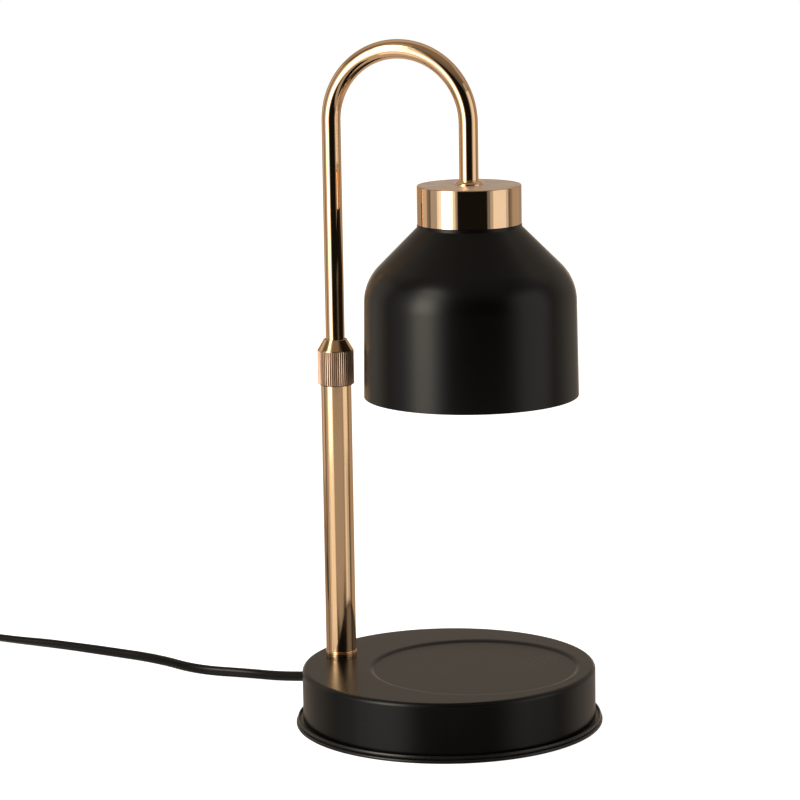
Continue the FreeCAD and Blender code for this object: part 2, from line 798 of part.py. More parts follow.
def cord_inner():
    """The cord between its strain relief and the crimped joints."""
    return rod(EXIT_POINT - EXIT_DIR * BOOT_INNER, CORD_INNER_END, CORD_R)


# ---- cord fittings in the base -------------------------------------------------------------------
BOOT_R, BOOT_NECK_R, BOOT_TIP_R, BOOT_INNER = 5.0, 4.25, 3.3, 4.0


def cord_boot():
    """Tapered strain relief that snaps into the hole in the rear wall."""
    flange = EXIT_POINT + EXIT_DIR * 2.2
    boot = fused(
        [
            rod(EXIT_POINT - EXIT_DIR * BOOT_INNER, flange, BOOT_R),
            taper(flange, BOOT_TIP, BOOT_R - 0.3, BOOT_TIP_R),
        ]
    )
    wall = ring(BASE_R, INNER_R, WALL_FOOT, BASE_TOP)
    return boot.cut(wall.cut(rod(EXIT_POINT - EXIT_DIR * 5, EXIT_POINT + EXIT_DIR * 5, BOOT_NECK_R)))


def clamp_middle():
    """Middle of the cord clamp, on the cord."""
    return EXIT_POINT - EXIT_DIR * 18.0


def clamp_seat():
    """Where the clamp's screw bears, under the plate."""
    middle = clamp_middle()
    return V(middle.x, middle.y, PLATE_MID_FOOT)


def cord_clamp():
    """Block on the plate that grips the cord."""
    middle = clamp_middle()
    half_long, half_wide, top = 3.5, 7.0, middle.z + 4.6
    body = block(V(-half_long, -half_wide, PLATE_MID_TOP), V(half_long, half_wide, top))
    body = body.makeFillet(1.2, [e for e in body.Edges if abs(e.tangentAt(e.FirstParameter).z) > 0.9])
    body.rotate(V(0, 0, 0), UP, EXIT_ANGLE)
    body.translate(V(middle.x, middle.y, 0))
    bore = rod(middle - EXIT_DIR * 8, middle + EXIT_DIR * 8, CORD_R)
    return body.cut(bore).cut(rod(clamp_seat(), clamp_seat() + UP * 4.6, 1.4))


def cord_clamp_screw():
    """Screw up through the plate into the clamp."""
    return pan_screw(clamp_seat(), UP, 2.6, 1.7, 1.35, 4.5)


# ---- dimmer on the cord --------------------------------------------------------------------------
def dimmer_block(low, high, inset=0.0):
    """Rounded slab of the dimmer's outline between two heights."""
    half_long, half_wide, corner = DIMMER_LONG / 2 - inset, DIMMER_WIDE / 2 - inset, 10.0 - inset
    slab = block(
        V(DIMMER.x - half_long, DIMMER.y - half_wide, low),
        V(DIMMER.x + half_long, DIMMER.y + half_wide, high),
    )
    return slab.makeFillet(corner, [e for e in slab.Edges if abs(e.tangentAt(e.FirstParameter).z) > 0.9])


def rounded_rim(slab, z, radius):
    """The slab with its edge at one height rounded."""
    edges = [e for e in slab.Edges if all(abs(v.Z - z) < 1e-6 for v in e.Vertexes)]
    return slab.makeFillet(radius, edges)


def dimmer_posts():
    """Where the dimmer's two screws stand."""
    return [DIMMER + V(side * 25.5, side * -8.5, 0) for side in (-1, 1)]


def dimmer_base():
    """Lower shell of the dimmer, with the cord's two end holes and bored screw posts."""
    shell = rounded_rim(dimmer_block(0.0, DIMMER_SPLIT), 0.0, 1.2)
    shell = shell.cut(dimmer_block(DIMMER_WALL, DIMMER_SPLIT + 1, DIMMER_WALL))
    for p in dimmer_posts():
        shell = shell.fuse(rod(p + UP * 1.0, p + UP * DIMMER_SPLIT, 2.6)).removeSplitter()
        shell = shell.cut(rod(p - UP, p + UP * 12, 1.4)).cut(rod(p - UP, p + UP * 2.4, 2.5))
    through = V(DIMMER_LONG, 0, 0)
    middle = V(DIMMER.x, DIMMER.y, DIMMER_CORD_Z)
    return shell.cut(rod(middle - through, middle + through, DIMMER_NECK_R))


def dimmer_cover():
    """Upper shell of the dimmer, with the wheel's hole and two tapped posts."""
    shell = rounded_rim(dimmer_block(DIMMER_SPLIT, DIMMER_HIGH), DIMMER_HIGH, 2.5)
    shell = shell.cut(dimmer_block(DIMMER_SPLIT - 1, DIMMER_HIGH - DIMMER_WALL, DIMMER_WALL))
    for p in dimmer_posts():
        shell = shell.fuse(rod(p + UP * DIMMER_SPLIT, p + UP * (DIMMER_HIGH - 1), 2.6)).removeSplitter()
        shell = shell.cut(rod(p + UP * (DIMMER_SPLIT - 1), p + UP * 17, 1.1))
    return shell.cut(rod(DIMMER + UP * 15, DIMMER + UP * 25, 4.1))


def dimmer_board():
    """Circuit board on the lower shell's posts."""
    board = block(DIMMER + V(-20, -11, 8.4), DIMMER + V(20, 11, 10.0))
    corners = [DIMMER + V(x, y, 0) for x in (-17, 17) for y in (-9, 9)]
    supports = [rod(c + UP * DIMMER_WALL, c + UP * 8.4, 1.5) for c in corners]
    return fused([board] + supports)


def dimmer_potentiometer():
    """Potentiometer on the board, with a bushing for the wheel's shaft."""
    body = block(DIMMER + V(-7, -7, 10.0), DIMMER + V(7, 7, 15.0))
    bushing = rod(DIMMER + UP * 15.0, DIMMER + UP * 19.2, 4.0)
    return fused([body, bushing]).cut(rod(DIMMER + UP * 12.0, DIMMER + UP * 20, SHAFT_R + RUNNING))


SHAFT_R = 2.9
DIMMER_NECK_R = 3.2


def dimmer_wheel():
    """Knob of the dimmer with its shaft and a pointer notch."""
    knob = rod(DIMMER + UP * 20.4, DIMMER + UP * 25.4, WHEEL_R)
    knob = knob.makeFillet(1.0, [e for e in knob.Edges if is_head_rim(e, DIMMER + UP * 25.4, WHEEL_R)])
    knob = fused([knob, rod(DIMMER + UP * 12.2, DIMMER + UP * 20.5, SHAFT_R)])
    return knob.cut(block(DIMMER + V(WHEEL_R - 5, -0.6, 24.8), DIMMER + V(WHEEL_R + 1, 0.6, 26)))


def dimmer_screws():
    """Two screws from below that hold the shells together."""
    return Part.makeCompound([pan_screw(p + UP * 2.4, UP, 2.3, 1.5, 1.05, 12.0) for p in dimmer_posts()])


def dimmer_boots():
    """Tapered strain reliefs at both ends of the dimmer."""
    boots = []
    for side in (-1, 1):
        out = V(side, 0, 0)
        face = V(DIMMER.x + side * DIMMER_LONG / 2, DIMMER.y, DIMMER_CORD_Z)
        inside = face - out * DIMMER_WALL
        boots.append(
            fused(
                [
                    rod(inside - out * 1.5, inside, 4.2),
                    rod(inside, face, DIMMER_NECK_R),
                    taper(face, face + out * BOOT_LENGTH, 4.2, 3.1),
                ]
            )
        )
    return Part.makeCompound(boots)


def dimmer_wires():
    """Two wires at each end of the dimmer, from its strain relief to the board."""
    wires = []
    for side in (-1, 1):
        for across in (-1, 1):
            start = DIMMER + V(side * (DIMMER_LONG / 2 - DIMMER_WALL - 1.5), across * 1.3, DIMMER_CORD_Z)
            wires.append(rod(start, DIMMER + V(side * 20.0, across * 4.0, 9.2), 0.7))
    return Part.makeCompound([w.cut(dimmer_boots()).cut(dimmer_board()) for w in wires])


# ---- cord and plug -------------------------------------------------------------------------------
def cord_coil():
    """Outer shape of the coil: a ring with rounded edges."""
    inner, outer, edge = COIL_TURN_R - COIL_HALF_WIDTH, COIL_TURN_R + COIL_HALF_WIDTH, 2.4
    k = edge * (1 - math.sqrt(0.5))
    solid = turned(
        [
            (inner + edge, 0),
            (outer - edge, 0),
            ((outer - k, k), (outer, edge)),
            (outer, COIL_HIGH - edge),
            ((outer - k, COIL_HIGH - k), (outer - edge, COIL_HIGH)),
            (inner + edge, COIL_HIGH),
            ((inner + k, COIL_HIGH - k), (inner, COIL_HIGH - edge)),
            (inner, edge),
            ((inner + k, k), (inner + edge, 0)),
        ]
    )
    solid.translate(COIL)
    return solid


def plug_body():
    """Flat two-pin plug with a ribless tapered tail. Its plan is a wide hexagon, narrow at the cord."""
    start, shoulder = PLUG_TAIL_X - PLUG_TAIL, PLUG_TAIL_X - PLUG_TAIL - PLUG_BODY
    outline = [(0, 7.0), (12, 9.0), (27, PLUG_WIDE / 2), (PLUG_BODY, PLUG_WIDE / 2)]
    points = [V(start - along, PLUG_Y + half, PLUG_Z - PLUG_HIGH / 2) for along, half in outline]
    foot = PLUG_Z - PLUG_HIGH / 2
    points += [V(start - along, PLUG_Y - half, foot) for along, half in reversed(outline)]
    slab = Part.Face(Part.makePolygon(points + points[:1])).extrude(V(0, 0, PLUG_HIGH))
    long_edges = [
        e
        for e in slab.Edges
        if abs(e.tangentAt(e.FirstParameter).z) < 0.1 and abs(e.CenterOfMass.y - PLUG_Y) > 1.0
    ]
    slab = slab.makeFillet(2.6, long_edges)
    tail = taper(V(PLUG_TAIL_X, PLUG_Y, PLUG_Z), V(start, PLUG_Y, PLUG_Z), 3.2, 5.0)
    body = fused([slab, tail])
    for side in (-1, 1):
        pin = V(shoulder, PLUG_Y + side * PIN_SPACING / 2, PLUG_Z)
        body = body.cut(rod(pin - V(1, 0, 0), pin + V(12, 0, 0), PIN_R))
    return body


def plug_pins():
    """Two round pins with rounded ends, set in the plug."""
    shoulder = PLUG_TAIL_X - PLUG_TAIL - PLUG_BODY
    pins = []
    for side in (-1, 1):
        start = V(shoulder + 12, PLUG_Y + side * PIN_SPACING / 2, PLUG_Z)
        end = V(shoulder - PIN_LENGTH + PIN_R, start.y, PLUG_Z)
        pins.append(fused([rod(start, end, PIN_R), Part.makeSphere(PIN_R, end)]))
    return Part.makeCompound(pins)


# ---- the nodes -----------------------------------------------------------------------------------
def nodes():
    """Every node by name."""
    return {
        "base_housing": base_housing(),
        "base_rim_trim": base_rim_trim(),
        "base_plate": base_plate(),
        "base_pad": ring(69.5, 61.0, 0.0, PAD_TOP),
        "base_counterweight": base_counterweight(),
        "base_standoffs": base_standoffs(),
        "base_screws": base_screws(),
        "pole_foot": pole_foot(),
        "pole_nipple": ring(NIPPLE_R, NIPPLE_BORE, 17.0, 38.0, MAST_X),
        "pole_washer": ring(10.0, NIPPLE_R, 24.9, TOP_UNDERSIDE, MAST_X),
        "pole_nut": pole_nut(),
        "lower_pole": ring(POLE_R, POLE_BORE, FOOT_TOP, POLE_TOP, MAST_X),
        "clamp_bush": clamp_bush(),
        "clamp_collet": clamp_collet(),
        "clamp_ring": clamp_ring(),
        "clamp_nut": clamp_nut(),
        "guide_bush": guide_bush(),
        "guide_clips": guide_clips(),
        "arm_tube": arm_tube(),
        "arm_ferrule": arm_ferrule(),
        "arm_end_nut": arm_end_nut(),
        "arm_end_washer": arm_end_washer(),
        "socket_cap": socket_cap(),
        "shade_bracket": shade_bracket(),
        "shade": shade(),
        "lampholder": lampholder(),
        "lampholder_screws": lampholder_screws(),
        "lamp_leads": lamp_leads(),
        "bulb_base": bulb_base(),
        "bulb_pins": bulb_pins(),
        "bulb_reflector": bulb_reflector(),
        "bulb_lens": bulb_lens(),
        "bulb_capsule": bulb_capsule(),
        "pole_leads": pole_leads(),
        "wire_joints": wire_joints(),
        "cord_inner": cord_inner(),
        "cord_boot": cord_boot(),
        "cord_clamp": cord_clamp(),
        "cord_clamp_screw": cord_clamp_screw(),
        "dimmer_base": dimmer_base(),
        "dimmer_cover": dimmer_cover(),
        "dimmer_board": dimmer_board(),
        "dimmer_potentiometer": dimmer_potentiometer(),
        "dimmer_wheel": dimmer_wheel(),
        "dimmer_screws": dimmer_screws(),
        "dimmer_boots": dimmer_boots(),
        "dimmer_wires": dimmer_wires(),
        "cord_run": cord_tube("cord_run", RUN_ROUTE, cord_boot(), dimmer_boots()),
        "cord_tail": cord_tube("cord_tail", TAIL_ROUTE, dimmer_boots()),
        "cord_coil": cord_coil(),
        "cord_end": cord_tube("cord_end", PLUG_ROUTE, plug_body()),
        "plug_body": plug_body(),
        "plug_pins": plug_pins(),
    }


def main():
    """Build every node and write its STEP file."""
    os.makedirs("parts", exist_ok=True)
    for name, shape in nodes().items():
        assert shape.isValid() and shape.Volume > 0, name
        shape.exportStep(f"parts/{name}.step")


main()
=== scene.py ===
import json
import logging
import math
from collections.abc import Callable, Sequence
from dataclasses import dataclass
from enum import Enum
from typing import ClassVar

import bmesh
import bpy
from mathutils import Matrix, Vector


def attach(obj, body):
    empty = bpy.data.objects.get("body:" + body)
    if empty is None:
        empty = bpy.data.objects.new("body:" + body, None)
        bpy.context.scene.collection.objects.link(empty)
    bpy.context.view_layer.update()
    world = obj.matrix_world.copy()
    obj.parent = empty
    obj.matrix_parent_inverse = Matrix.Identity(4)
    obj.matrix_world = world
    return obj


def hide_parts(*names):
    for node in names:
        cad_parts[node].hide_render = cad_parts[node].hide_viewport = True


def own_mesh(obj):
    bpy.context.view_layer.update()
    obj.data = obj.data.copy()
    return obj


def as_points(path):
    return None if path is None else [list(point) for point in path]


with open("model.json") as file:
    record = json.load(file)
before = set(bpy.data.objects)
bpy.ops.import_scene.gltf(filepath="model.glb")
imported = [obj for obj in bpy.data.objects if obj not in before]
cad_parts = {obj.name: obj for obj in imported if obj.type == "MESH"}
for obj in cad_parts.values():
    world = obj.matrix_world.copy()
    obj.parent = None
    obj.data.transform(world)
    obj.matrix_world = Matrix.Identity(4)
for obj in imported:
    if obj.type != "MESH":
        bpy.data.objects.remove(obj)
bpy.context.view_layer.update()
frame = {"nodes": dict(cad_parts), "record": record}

LOG = logging.getLogger("candle_warmer")
MM = 0.001
UP = Vector((0.0, 0.0, 1.0))
SAME_PLACE, NO_LENGTH = 1e-6, 1e-7

Colour = tuple[float, float, float]
Flat = tuple[float, float]
Place = tuple[float, float, float]
Ring = list[Vector]


# ---- node trees ------------------------------------------------------------------------------------
class Socket:
    """One output of a node, with Python's operators for maths on numbers."""

    def __init__(self, graph: "Graph", output: bpy.types.NodeSocket) -> None:
        """Keep the output and the graph that it belongs to."""
        self.graph = graph
        self.output = output

    def at(self, name: str) -> "Socket":
        """Another output of the same node."""
        return Socket(self.graph, self.output.node.outputs[name])

    def __add__(self, other: "Number") -> "Socket":
        """This plus other."""
        return self.graph.maths("ADD", self, other)

    def __radd__(self, other: "Number") -> "Socket":
        """Other plus this."""
        return self.graph.maths("ADD", other, self)

    def __sub__(self, other: "Number") -> "Socket":
        """This minus other."""
        return self.graph.maths("SUBTRACT", self, other)

    def __rsub__(self, other: "Number") -> "Socket":
        """Other minus this."""
        return self.graph.maths("SUBTRACT", other, self)

    def __mul__(self, other: "Number") -> "Socket":
        """This times other."""
        return self.graph.maths("MULTIPLY", self, other)

    def __rmul__(self, other: "Number") -> "Socket":
        """Other times this."""
        return self.graph.maths("MULTIPLY", other, self)

    def __truediv__(self, other: "Number") -> "Socket":
        """This over other."""
        return self.graph.maths("DIVIDE", self, other)

    def __rtruediv__(self, other: "Number") -> "Socket":
        """Other over this."""
        return self.graph.maths("DIVIDE", other, self)

    def __pow__(self, other: "Number") -> "Socket":
        """This to the power of other."""
        return self.graph.maths("POWER", self, other)

    def __gt__(self, other: "Number") -> "Socket":
        """1 where this is greater than other, and 0 elsewhere."""
        return self.graph.maths("GREATER_THAN", self, other)

    def __lt__(self, other: "Number") -> "Socket":
        """1 where this is less than other, and 0 elsewhere."""
        return self.graph.maths("LESS_THAN", self, other)

    def clamped(self) -> "Socket":
        """This held between 0 and 1."""
        return self.graph.maths("MINIMUM", self.graph.maths("MAXIMUM", self, 0.0), 1.0)


Number = Socket | float


class Graph:
    """A shader or geometry tree that is being written. One method makes every node."""

    def __init__(self, tree: bpy.types.NodeTree) -> None:
        """Start from an empty tree."""
        tree.nodes.clear()
        self.tree = tree

    def node(
        self, kind: str, settings: dict | None = None, sockets: dict | None = None, output: int | str = 0
    ) -> Socket:
        """Make one node.

        Args:
            kind: The node's type.
            settings: Its properties, set before its sockets.
            sockets: Values or links by the inputs' names or numbers.
            output: The output that is returned.

        Returns:
            The output asked for, or the first input of a node without outputs.
        """
        made = self.tree.nodes.new(kind)
        for name, value in (settings or {}).items():
            setattr(made, name, value)
        for key, value in (sockets or {}).items():
            if isinstance(value, Socket):
                self.tree.links.new(value.output, made.inputs[key])
            else:
                made.inputs[key].default_value = value
        return Socket(self, made.outputs[output] if len(made.outputs) else made.inputs[0])

    def maths(self, operation: str, first: Number, second: Number = 0.0) -> Socket:
        """A Math node on two numbers."""
        return self.node("ShaderNodeMath", {"operation": operation}, {0: first, 1: second})

    def vector(self, x: Number, y: Number, z: Number) -> Socket:
        """A vector from its three numbers."""
        return self.node("ShaderNodeCombineXYZ", None, {0: x, 1: y, 2: z})

    def blend(self, factor: Number, low: Socket | Colour, high: Socket | Colour) -> Socket:
        """A colour between two."""
        low, high = ((*c, 1.0) if isinstance(c, tuple) else c for c in (low, high))
        return self.node("ShaderNodeMix", {"data_type": "RGBA"}, {0: factor, 6: low, 7: high}, 2)

    def ease(self, value: Socket, low: float, high: float) -> Socket:
        """A smooth step from 0 to 1 while the value goes from low to high."""
        settings = {"interpolation_type": "SMOOTHSTEP"}
        return self.node("ShaderNodeMapRange", settings, {0: value, 1: low, 2: high})

    def here(self, centre: Flat = (0.0, 0.0), stretch: Place = (1.0, 1.0, 1.0)) -> Socket:
        """Object coordinates about an upright axis at centre, in metres, times a stretch.

        Args:
            centre: Place of the axis, in metres.
            stretch: Factors along each axis.

        Returns:
            The centred and stretched coordinates.
        """
        place = self.node("ShaderNodeTexCoord", None, None, "Object")
        shift = tuple(-c * s for c, s in zip((*centre, 0.0), stretch))
        return self.node("ShaderNodeMapping", None, {"Vector": place, "Location": shift, "Scale": stretch})

    def grain(self, at: Socket, size: float, detail: float = 2.0, rough: float = 0.5) -> Socket:
        """Noise from 0 to 1 whose spots are about size metres across."""
        sockets = {"Vector": at, "Scale": 1.0 / size, "Detail": detail, "Roughness": rough}
        return self.node("ShaderNodeTexNoise", None, sockets)

    def spots(self, at: Socket, size: float, span: Flat, detail: float = 2.0) -> Socket:
        """Spots of noise, eased from 0 to 1 over a span of its values."""
        return self.ease(self.grain(at, size, detail), *span)

    def from_axis(self, at: Socket) -> Socket:
        """Distance of a place from the upright axis of its coordinates."""
        split = self.node("ShaderNodeSeparateXYZ", None, {0: at})
        return (split.at("X") ** 2.0 + split.at("Y") ** 2.0) ** 0.5

    def bump(self, height: Socket, depth: float) -> Socket:
        """A normal from a height of 0 to 1 that stands for depth metres."""
        return self.node("ShaderNodeBump", None, {"Height": height, "Distance": depth, "Strength": 1.0})


def started(name: str) -> tuple[bpy.types.Material, Graph]:
    """A new material with nothing in its tree yet.

    Args:
        name: The material's name.

    Returns:
        The material and its graph.
    """
    material = bpy.data.materials.new(name)
    material.use_nodes = True
    return material, Graph(material.node_tree)


# ---- finishes --------------------------------------------------------------------------------------
@dataclass(frozen=True)
class Finish:
    """What a surface is made of: constants on the shader's own sockets, and what varies over it."""

    name: str
    colour: Colour
    roughness: float
    made: ClassVar[dict[str, bpy.types.Material]] = {}

    def toned(self, factor: float, lift: float = 0.0) -> Colour:
        """The colour made lighter or darker, at most white."""
        return tuple(min(1.0, c * factor + lift) for c in self.colour)

    def constants(self) -> dict[str, object]:
        """Values that are the same all over the surface, by the shader's socket."""
        return {}

    def varied(self, g: Graph) -> dict[str, Socket]:
        """Links for what changes over the surface, by the shader's socket.

        Args:
            g: The material's graph.

        Returns:
            Sockets for the shader, by the names of its inputs.
        """
        raise NotImplementedError

    def material(self) -> bpy.types.Material:
        """The material of this finish, made once.

        Returns:
            The material.
        """
        if self.name not in self.made:
            material, g = started(self.name)
            base = {"Base Color": (*self.colour, 1.0), "Roughness": self.roughness}
            sockets = {**base, **self.constants(), **self.varied(g)}
            shader = g.node("ShaderNodeBsdfPrincipled", None, sockets)
            g.node("ShaderNodeOutputMaterial", None, {"Surface": shader})
            material.diffuse_color = (*self.colour, 1.0)
            self.made[self.name] = material
        return self.made[self.name]


@dataclass(frozen=True)
class Metal(Finish):
    """Any finish that is bare metal all over."""

    def constants(self) -> dict[str, object]:
        """Metal throughout."""
        return {"Metallic": 1.0}


@dataclass(frozen=True)
class Glossed(Finish):
    """Any finish whose gloss is held back by its specular level."""

    specular: float = 0.3

    def constants(self) -> dict[str, object]:
        """Specular level of the surface."""
        return {"Specular IOR Level": self.specular}


@dataclass(frozen=True)
class Enamel(Glossed):
    """Baked satin paint on sheet metal, with a faint orange peel and a little dust."""

    peel: float = 0.00001

    def varied(self, g: Graph) -> dict[str, Socket]:
        """Peel in the normal, dust in the colour and the roughness.

        Args:
            g: The material's graph.

        Returns:
            Sockets for the shader, by the names of its inputs.
        """
        at = g.here()
        cloud = g.grain(at, 0.03, 3.0)
        dust = g.spots(at, 0.0004, (0.7, 0.82), 1.0) * g.ease(cloud, 0.45, 0.7)
        return {
            "Base Color": g.blend(dust, self.colour, self.toned(2.2, 0.006)),
            "Roughness": self.roughness + (cloud - 0.5) * 0.04 + dust * 0.03,
            "Normal": g.bump(g.grain(at, 0.0011, 1.0), self.peel),
        }


@dataclass(frozen=True)
class Polish(Metal):
    """Bright plated tube or turning: faint drawing lines along it and a breath of wear."""

    centre: Flat = (0.0, 0.0)
    lines: float = 0.0000006

    def varied(self, g: Graph) -> dict[str, Socket]:
        """Fine lines in the normal, clouds of handling in the roughness and the tint.

        Args:
            g: The material's graph.

        Returns:
            Sockets for the shader, by the names of its inputs.
        """
        at = g.here(self.centre)
        clouds = g.grain(at, 0.012, 3.0)
        drawn = g.grain(g.here(self.centre, (1.0, 1.0, 0.04)), 0.00022, 2.0)
        warmer = (self.colour[0], self.colour[1] * 0.95, self.colour[2] * 0.88)
        return {
            "Base Color": g.blend(g.ease(clouds, 0.35, 0.75) * 0.6, self.colour, warmer),
            "Roughness": self.roughness + g.ease(clouds, 0.4, 0.8) * 0.03 + (drawn - 0.5) * 0.03,
            "Normal": g.bump(drawn, self.lines),
        }


@dataclass(frozen=True)
class Spun(Metal):
    """Face that was turned and left with its tool's rings, or lightly blasted."""

    centre: Flat = (0.0, 0.0)
    pitch: float = 0.00035
    relief: float = 0.0000016

    def varied(self, g: Graph) -> dict[str, Socket]:
        """Rings about the centre in the normal and the roughness.

        Args:
            g: The material's graph.

        Returns:
            Sockets for the shader, by the names of its inputs.
        """
        at = g.here(self.centre)
        rings = g.grain(g.vector(g.from_axis(at), 0.0, 0.0), self.pitch, 1.0)
        clouds = g.grain(at, 0.009, 3.0)
        return {
            "Base Color": g.blend(g.ease(clouds, 0.35, 0.75) * 0.7, self.colour, self.toned(0.82)),
            "Roughness": self.roughness + (rings - 0.5) * 0.16 + (clouds - 0.5) * 0.08,
            "Normal": g.bump(rings, self.relief),
        }


@dataclass(frozen=True)
class Knurling(Metal):
    """Rolled ribs with painted shade: bright on their crests, painted-shade brown in the valleys, and
    streaks along the ribs.
    """

    centre: Flat = (0.0, 0.0)
    crest: float = 0.0085
    valley: float = 0.0082
    shadow: Colour = (0.12, 0.05, 0.02)
    relief: float = 0.00003

    def varied(self, g: Graph) -> dict[str, Socket]:
        """Colour by the distance from the nut's axis, which paints shade into the valleys, and streaks along
        the ribs.

        Args:
            g: The material's graph.

        Returns:
            Sockets for the shader, by the names of its inputs.
        """
        away = g.from_axis(g.here(self.centre))
        streaks = g.grain(g.here(self.centre, (1.0, 1.0, 0.03)), 0.0007, 4.0, 0.75)
        # painted shade: the colour falls to the shadow colour in the valleys between the ribs, and the
        # streaks darken the crests unevenly
        crest = (g.ease(away, self.valley, self.crest) * (1.9 * streaks - 0.05)).clamped()
        return {
            "Base Color": g.blend(crest, self.shadow, self.colour),
            "Roughness": self.roughness + 0.22 * (1.0 - crest) + (streaks - 0.5) * 0.14,
            "Normal": g.bump(streaks, self.relief),
        }


@dataclass(frozen=True)
class Plated(Metal):
    """Zinc or nickel on steel: small bright flakes and dull handling."""

    flake: float = 0.0011
    relief: float = 0.000002

    def varied(self, g: Graph) -> dict[str, Socket]:
        """Flakes of slightly different tone.

        Args:
            g: The material's graph.

        Returns:
            Sockets for the shader, by the names of its inputs.
        """
        at = g.here()
        cells = g.node("ShaderNodeTexVoronoi", None, {"Vector": at, "Scale": 1.0 / self.flake}, "Color")
        tone = g.node("ShaderNodeSeparateColor", None, {0: cells})
        return {
            "Base Color": g.blend(tone * 0.6, self.colour, self.toned(0.72)),
            "Roughness": self.roughness + tone * 0.1 + (g.grain(at, 0.01, 3.0) - 0.5) * 0.15,
            "Normal": g.bump(tone, self.relief),
        }


@dataclass(frozen=True)
class Casting(Finish):
    """Sand casting under thin primer."""

    rust: Colour = (0.12, 0.045, 0.02)
    relief: float = 0.0002

    def varied(self, g: Graph) -> dict[str, Socket]:
        """Pits and a little rust.

        Args:
            g: The material's graph.

        Returns:
            Sockets for the shader, by the names of its inputs.
        """
        at = g.here()
        pits = g.grain(at, 0.0012, 4.0, 0.7)
        rusted = g.spots(at, 0.008, (0.56, 0.7), 4.0) * 0.5
        return {
            "Base Color": g.blend(rusted, self.colour, self.rust),
            "Roughness": self.roughness + (pits - 0.5) * 0.2,
            "Normal": g.bump(pits, self.relief),
        }


@dataclass(frozen=True)
class Moulded(Finish):
    """Moulded plastic, rubber or foam: a fine grain, a slow change of tone and rubbed gloss."""

    grain_size: float = 0.0004
    grain_depth: float = 0.000008
    tone: float = 1.5
    subsurface: float = 0.0

    def constants(self) -> dict[str, object]:
        """How much light passes into it."""
        return {"Subsurface Weight": self.subsurface, "Subsurface Scale": 0.001}

    def varied(self, g: Graph) -> dict[str, Socket]:
        """Grain in the normal, rubbing in the roughness and the tone.

        Args:
            g: The material's graph.

        Returns:
            Sockets for the shader, by the names of its inputs.
        """
        at = g.here()
        rubbed = g.grain(at, 0.011, 3.0)
        lighter = self.toned(self.tone, 0.002)
        return {
            "Base Color": g.blend(g.ease(rubbed, 0.4, 0.75) * 0.5, self.colour, lighter),
            "Roughness": self.roughness + (rubbed - 0.5) * 0.14,
            "Normal": g.bump(g.grain(at, self.grain_size, 2.0), self.grain_depth),
        }


@dataclass(frozen=True)
class Jacket(Glossed):
    """Extruded cord jacket: drag lines along it, from its own UV map, and scuffs."""

    relief: float = 0.000012

    def varied(self, g: Graph) -> dict[str, Socket]:
        """Lines across the UV's first axis, scuffs in the roughness.

        Args:
            g: The material's graph.

        Returns:
            Sockets for the shader, by the names of its inputs.
        """
        uv = g.node("ShaderNodeTexCoord", None, None, "UV")
        stretched = g.node("ShaderNodeMapping", None, {"Vector": uv, "Scale": (40.0, 3.0, 1.0)})
        lines = g.grain(stretched, 1.0, 2.0)
        scuffs = g.grain(g.here(), 0.006, 4.0, 0.6)
        return {
            "Base Color": g.blend(g.ease(scuffs, 0.55, 0.8) * 0.5, self.colour, self.toned(2.0, 0.003)),
            "Roughness": self.roughness + (lines - 0.5) * 0.08 + g.ease(scuffs, 0.5, 0.8) * 0.12,
            "Normal": g.bump(lines, self.relief),
        }


@dataclass(frozen=True)
class Ceramic(Finish):
    """Fired steatite: faintly speckled, with a soft sheen."""

    relief: float = 0.00002

    def constants(self) -> dict[str, object]:
        """A thin glaze."""
        return {"Coat Weight": 0.15, "Coat Roughness": 0.3}

    def varied(self, g: Graph) -> dict[str, Socket]:
        """Speckles and pores.

        Args:
            g: The material's graph.

        Returns:
            Sockets for the shader, by the names of its inputs.
        """
        at = g.here()
        specks = g.spots(at, 0.0007, (0.68, 0.78))
        return {
            "Base Color": g.blend(specks * 0.5, self.colour, self.toned(0.7)),
            "Roughness": self.roughness + (g.grain(at, 0.005, 3.0) - 0.5) * 0.12,
            "Normal": g.bump(g.grain(at, 0.0009, 3.0), self.relief),
        }


@dataclass(frozen=True)
class Glass(Finish):
    """Clear pressed glass with a faint waviness."""

    relief: float = 0.00003

    def constants(self) -> dict[str, object]:
        """Clear all through."""
        return {"Transmission Weight": 1.0, "IOR": 1.5}

    def varied(self, g: Graph) -> dict[str, Socket]:
        """Waves from the press and a little haze.

        Args:
            g: The material's graph.

        Returns:
            Sockets for the shader, by the names of its inputs.
        """
        at = g.here()
        return {
            "Roughness": self.roughness + g.spots(at, 0.004, (0.5, 0.9)) * 0.03,
            "Normal": g.bump(g.grain(at, 0.003, 1.0), self.relief),
        }


@dataclass(frozen=True)
class Silvered(Metal):
    """Vacuum-coated reflector."""

    relief: float = 0.000004

    def varied(self, g: Graph) -> dict[str, Socket]:
        """A thin spot here and there.

        Args:
            g: The material's graph.

        Returns:
            Sockets for the shader, by the names of its inputs.
        """
        at = g.here()
        return {
            "Roughness": self.roughness + g.spots(at, 0.002, (0.55, 0.8), 3.0) * 0.08,
            "Normal": g.bump(g.grain(at, 0.002, 1.0), self.relief),
        }


@dataclass(frozen=True)
class Board(Finish):
    """Circuit board: copper tracks under green lacquer."""

    track: Colour = (0.05, 0.3, 0.1)
    relief: float = 0.00003

    def varied(self, g: Graph) -> dict[str, Socket]:
        """Tracks as a brick pattern, raised a little.

        Args:
            g: The material's graph.

        Returns:
            Sockets for the shader, by the names of its inputs.
        """
        sockets = {"Vector": g.here(), "Scale": 160.0, "Mortar Size": 0.035}
        tracks = g.node("ShaderNodeTexBrick", None, sockets, "Fac")
        return {
            "Base Color": g.blend(tracks, self.colour, self.track),
            "Roughness": self.roughness + tracks * 0.1,
            "Normal": g.bump(tracks, self.relief),
        }


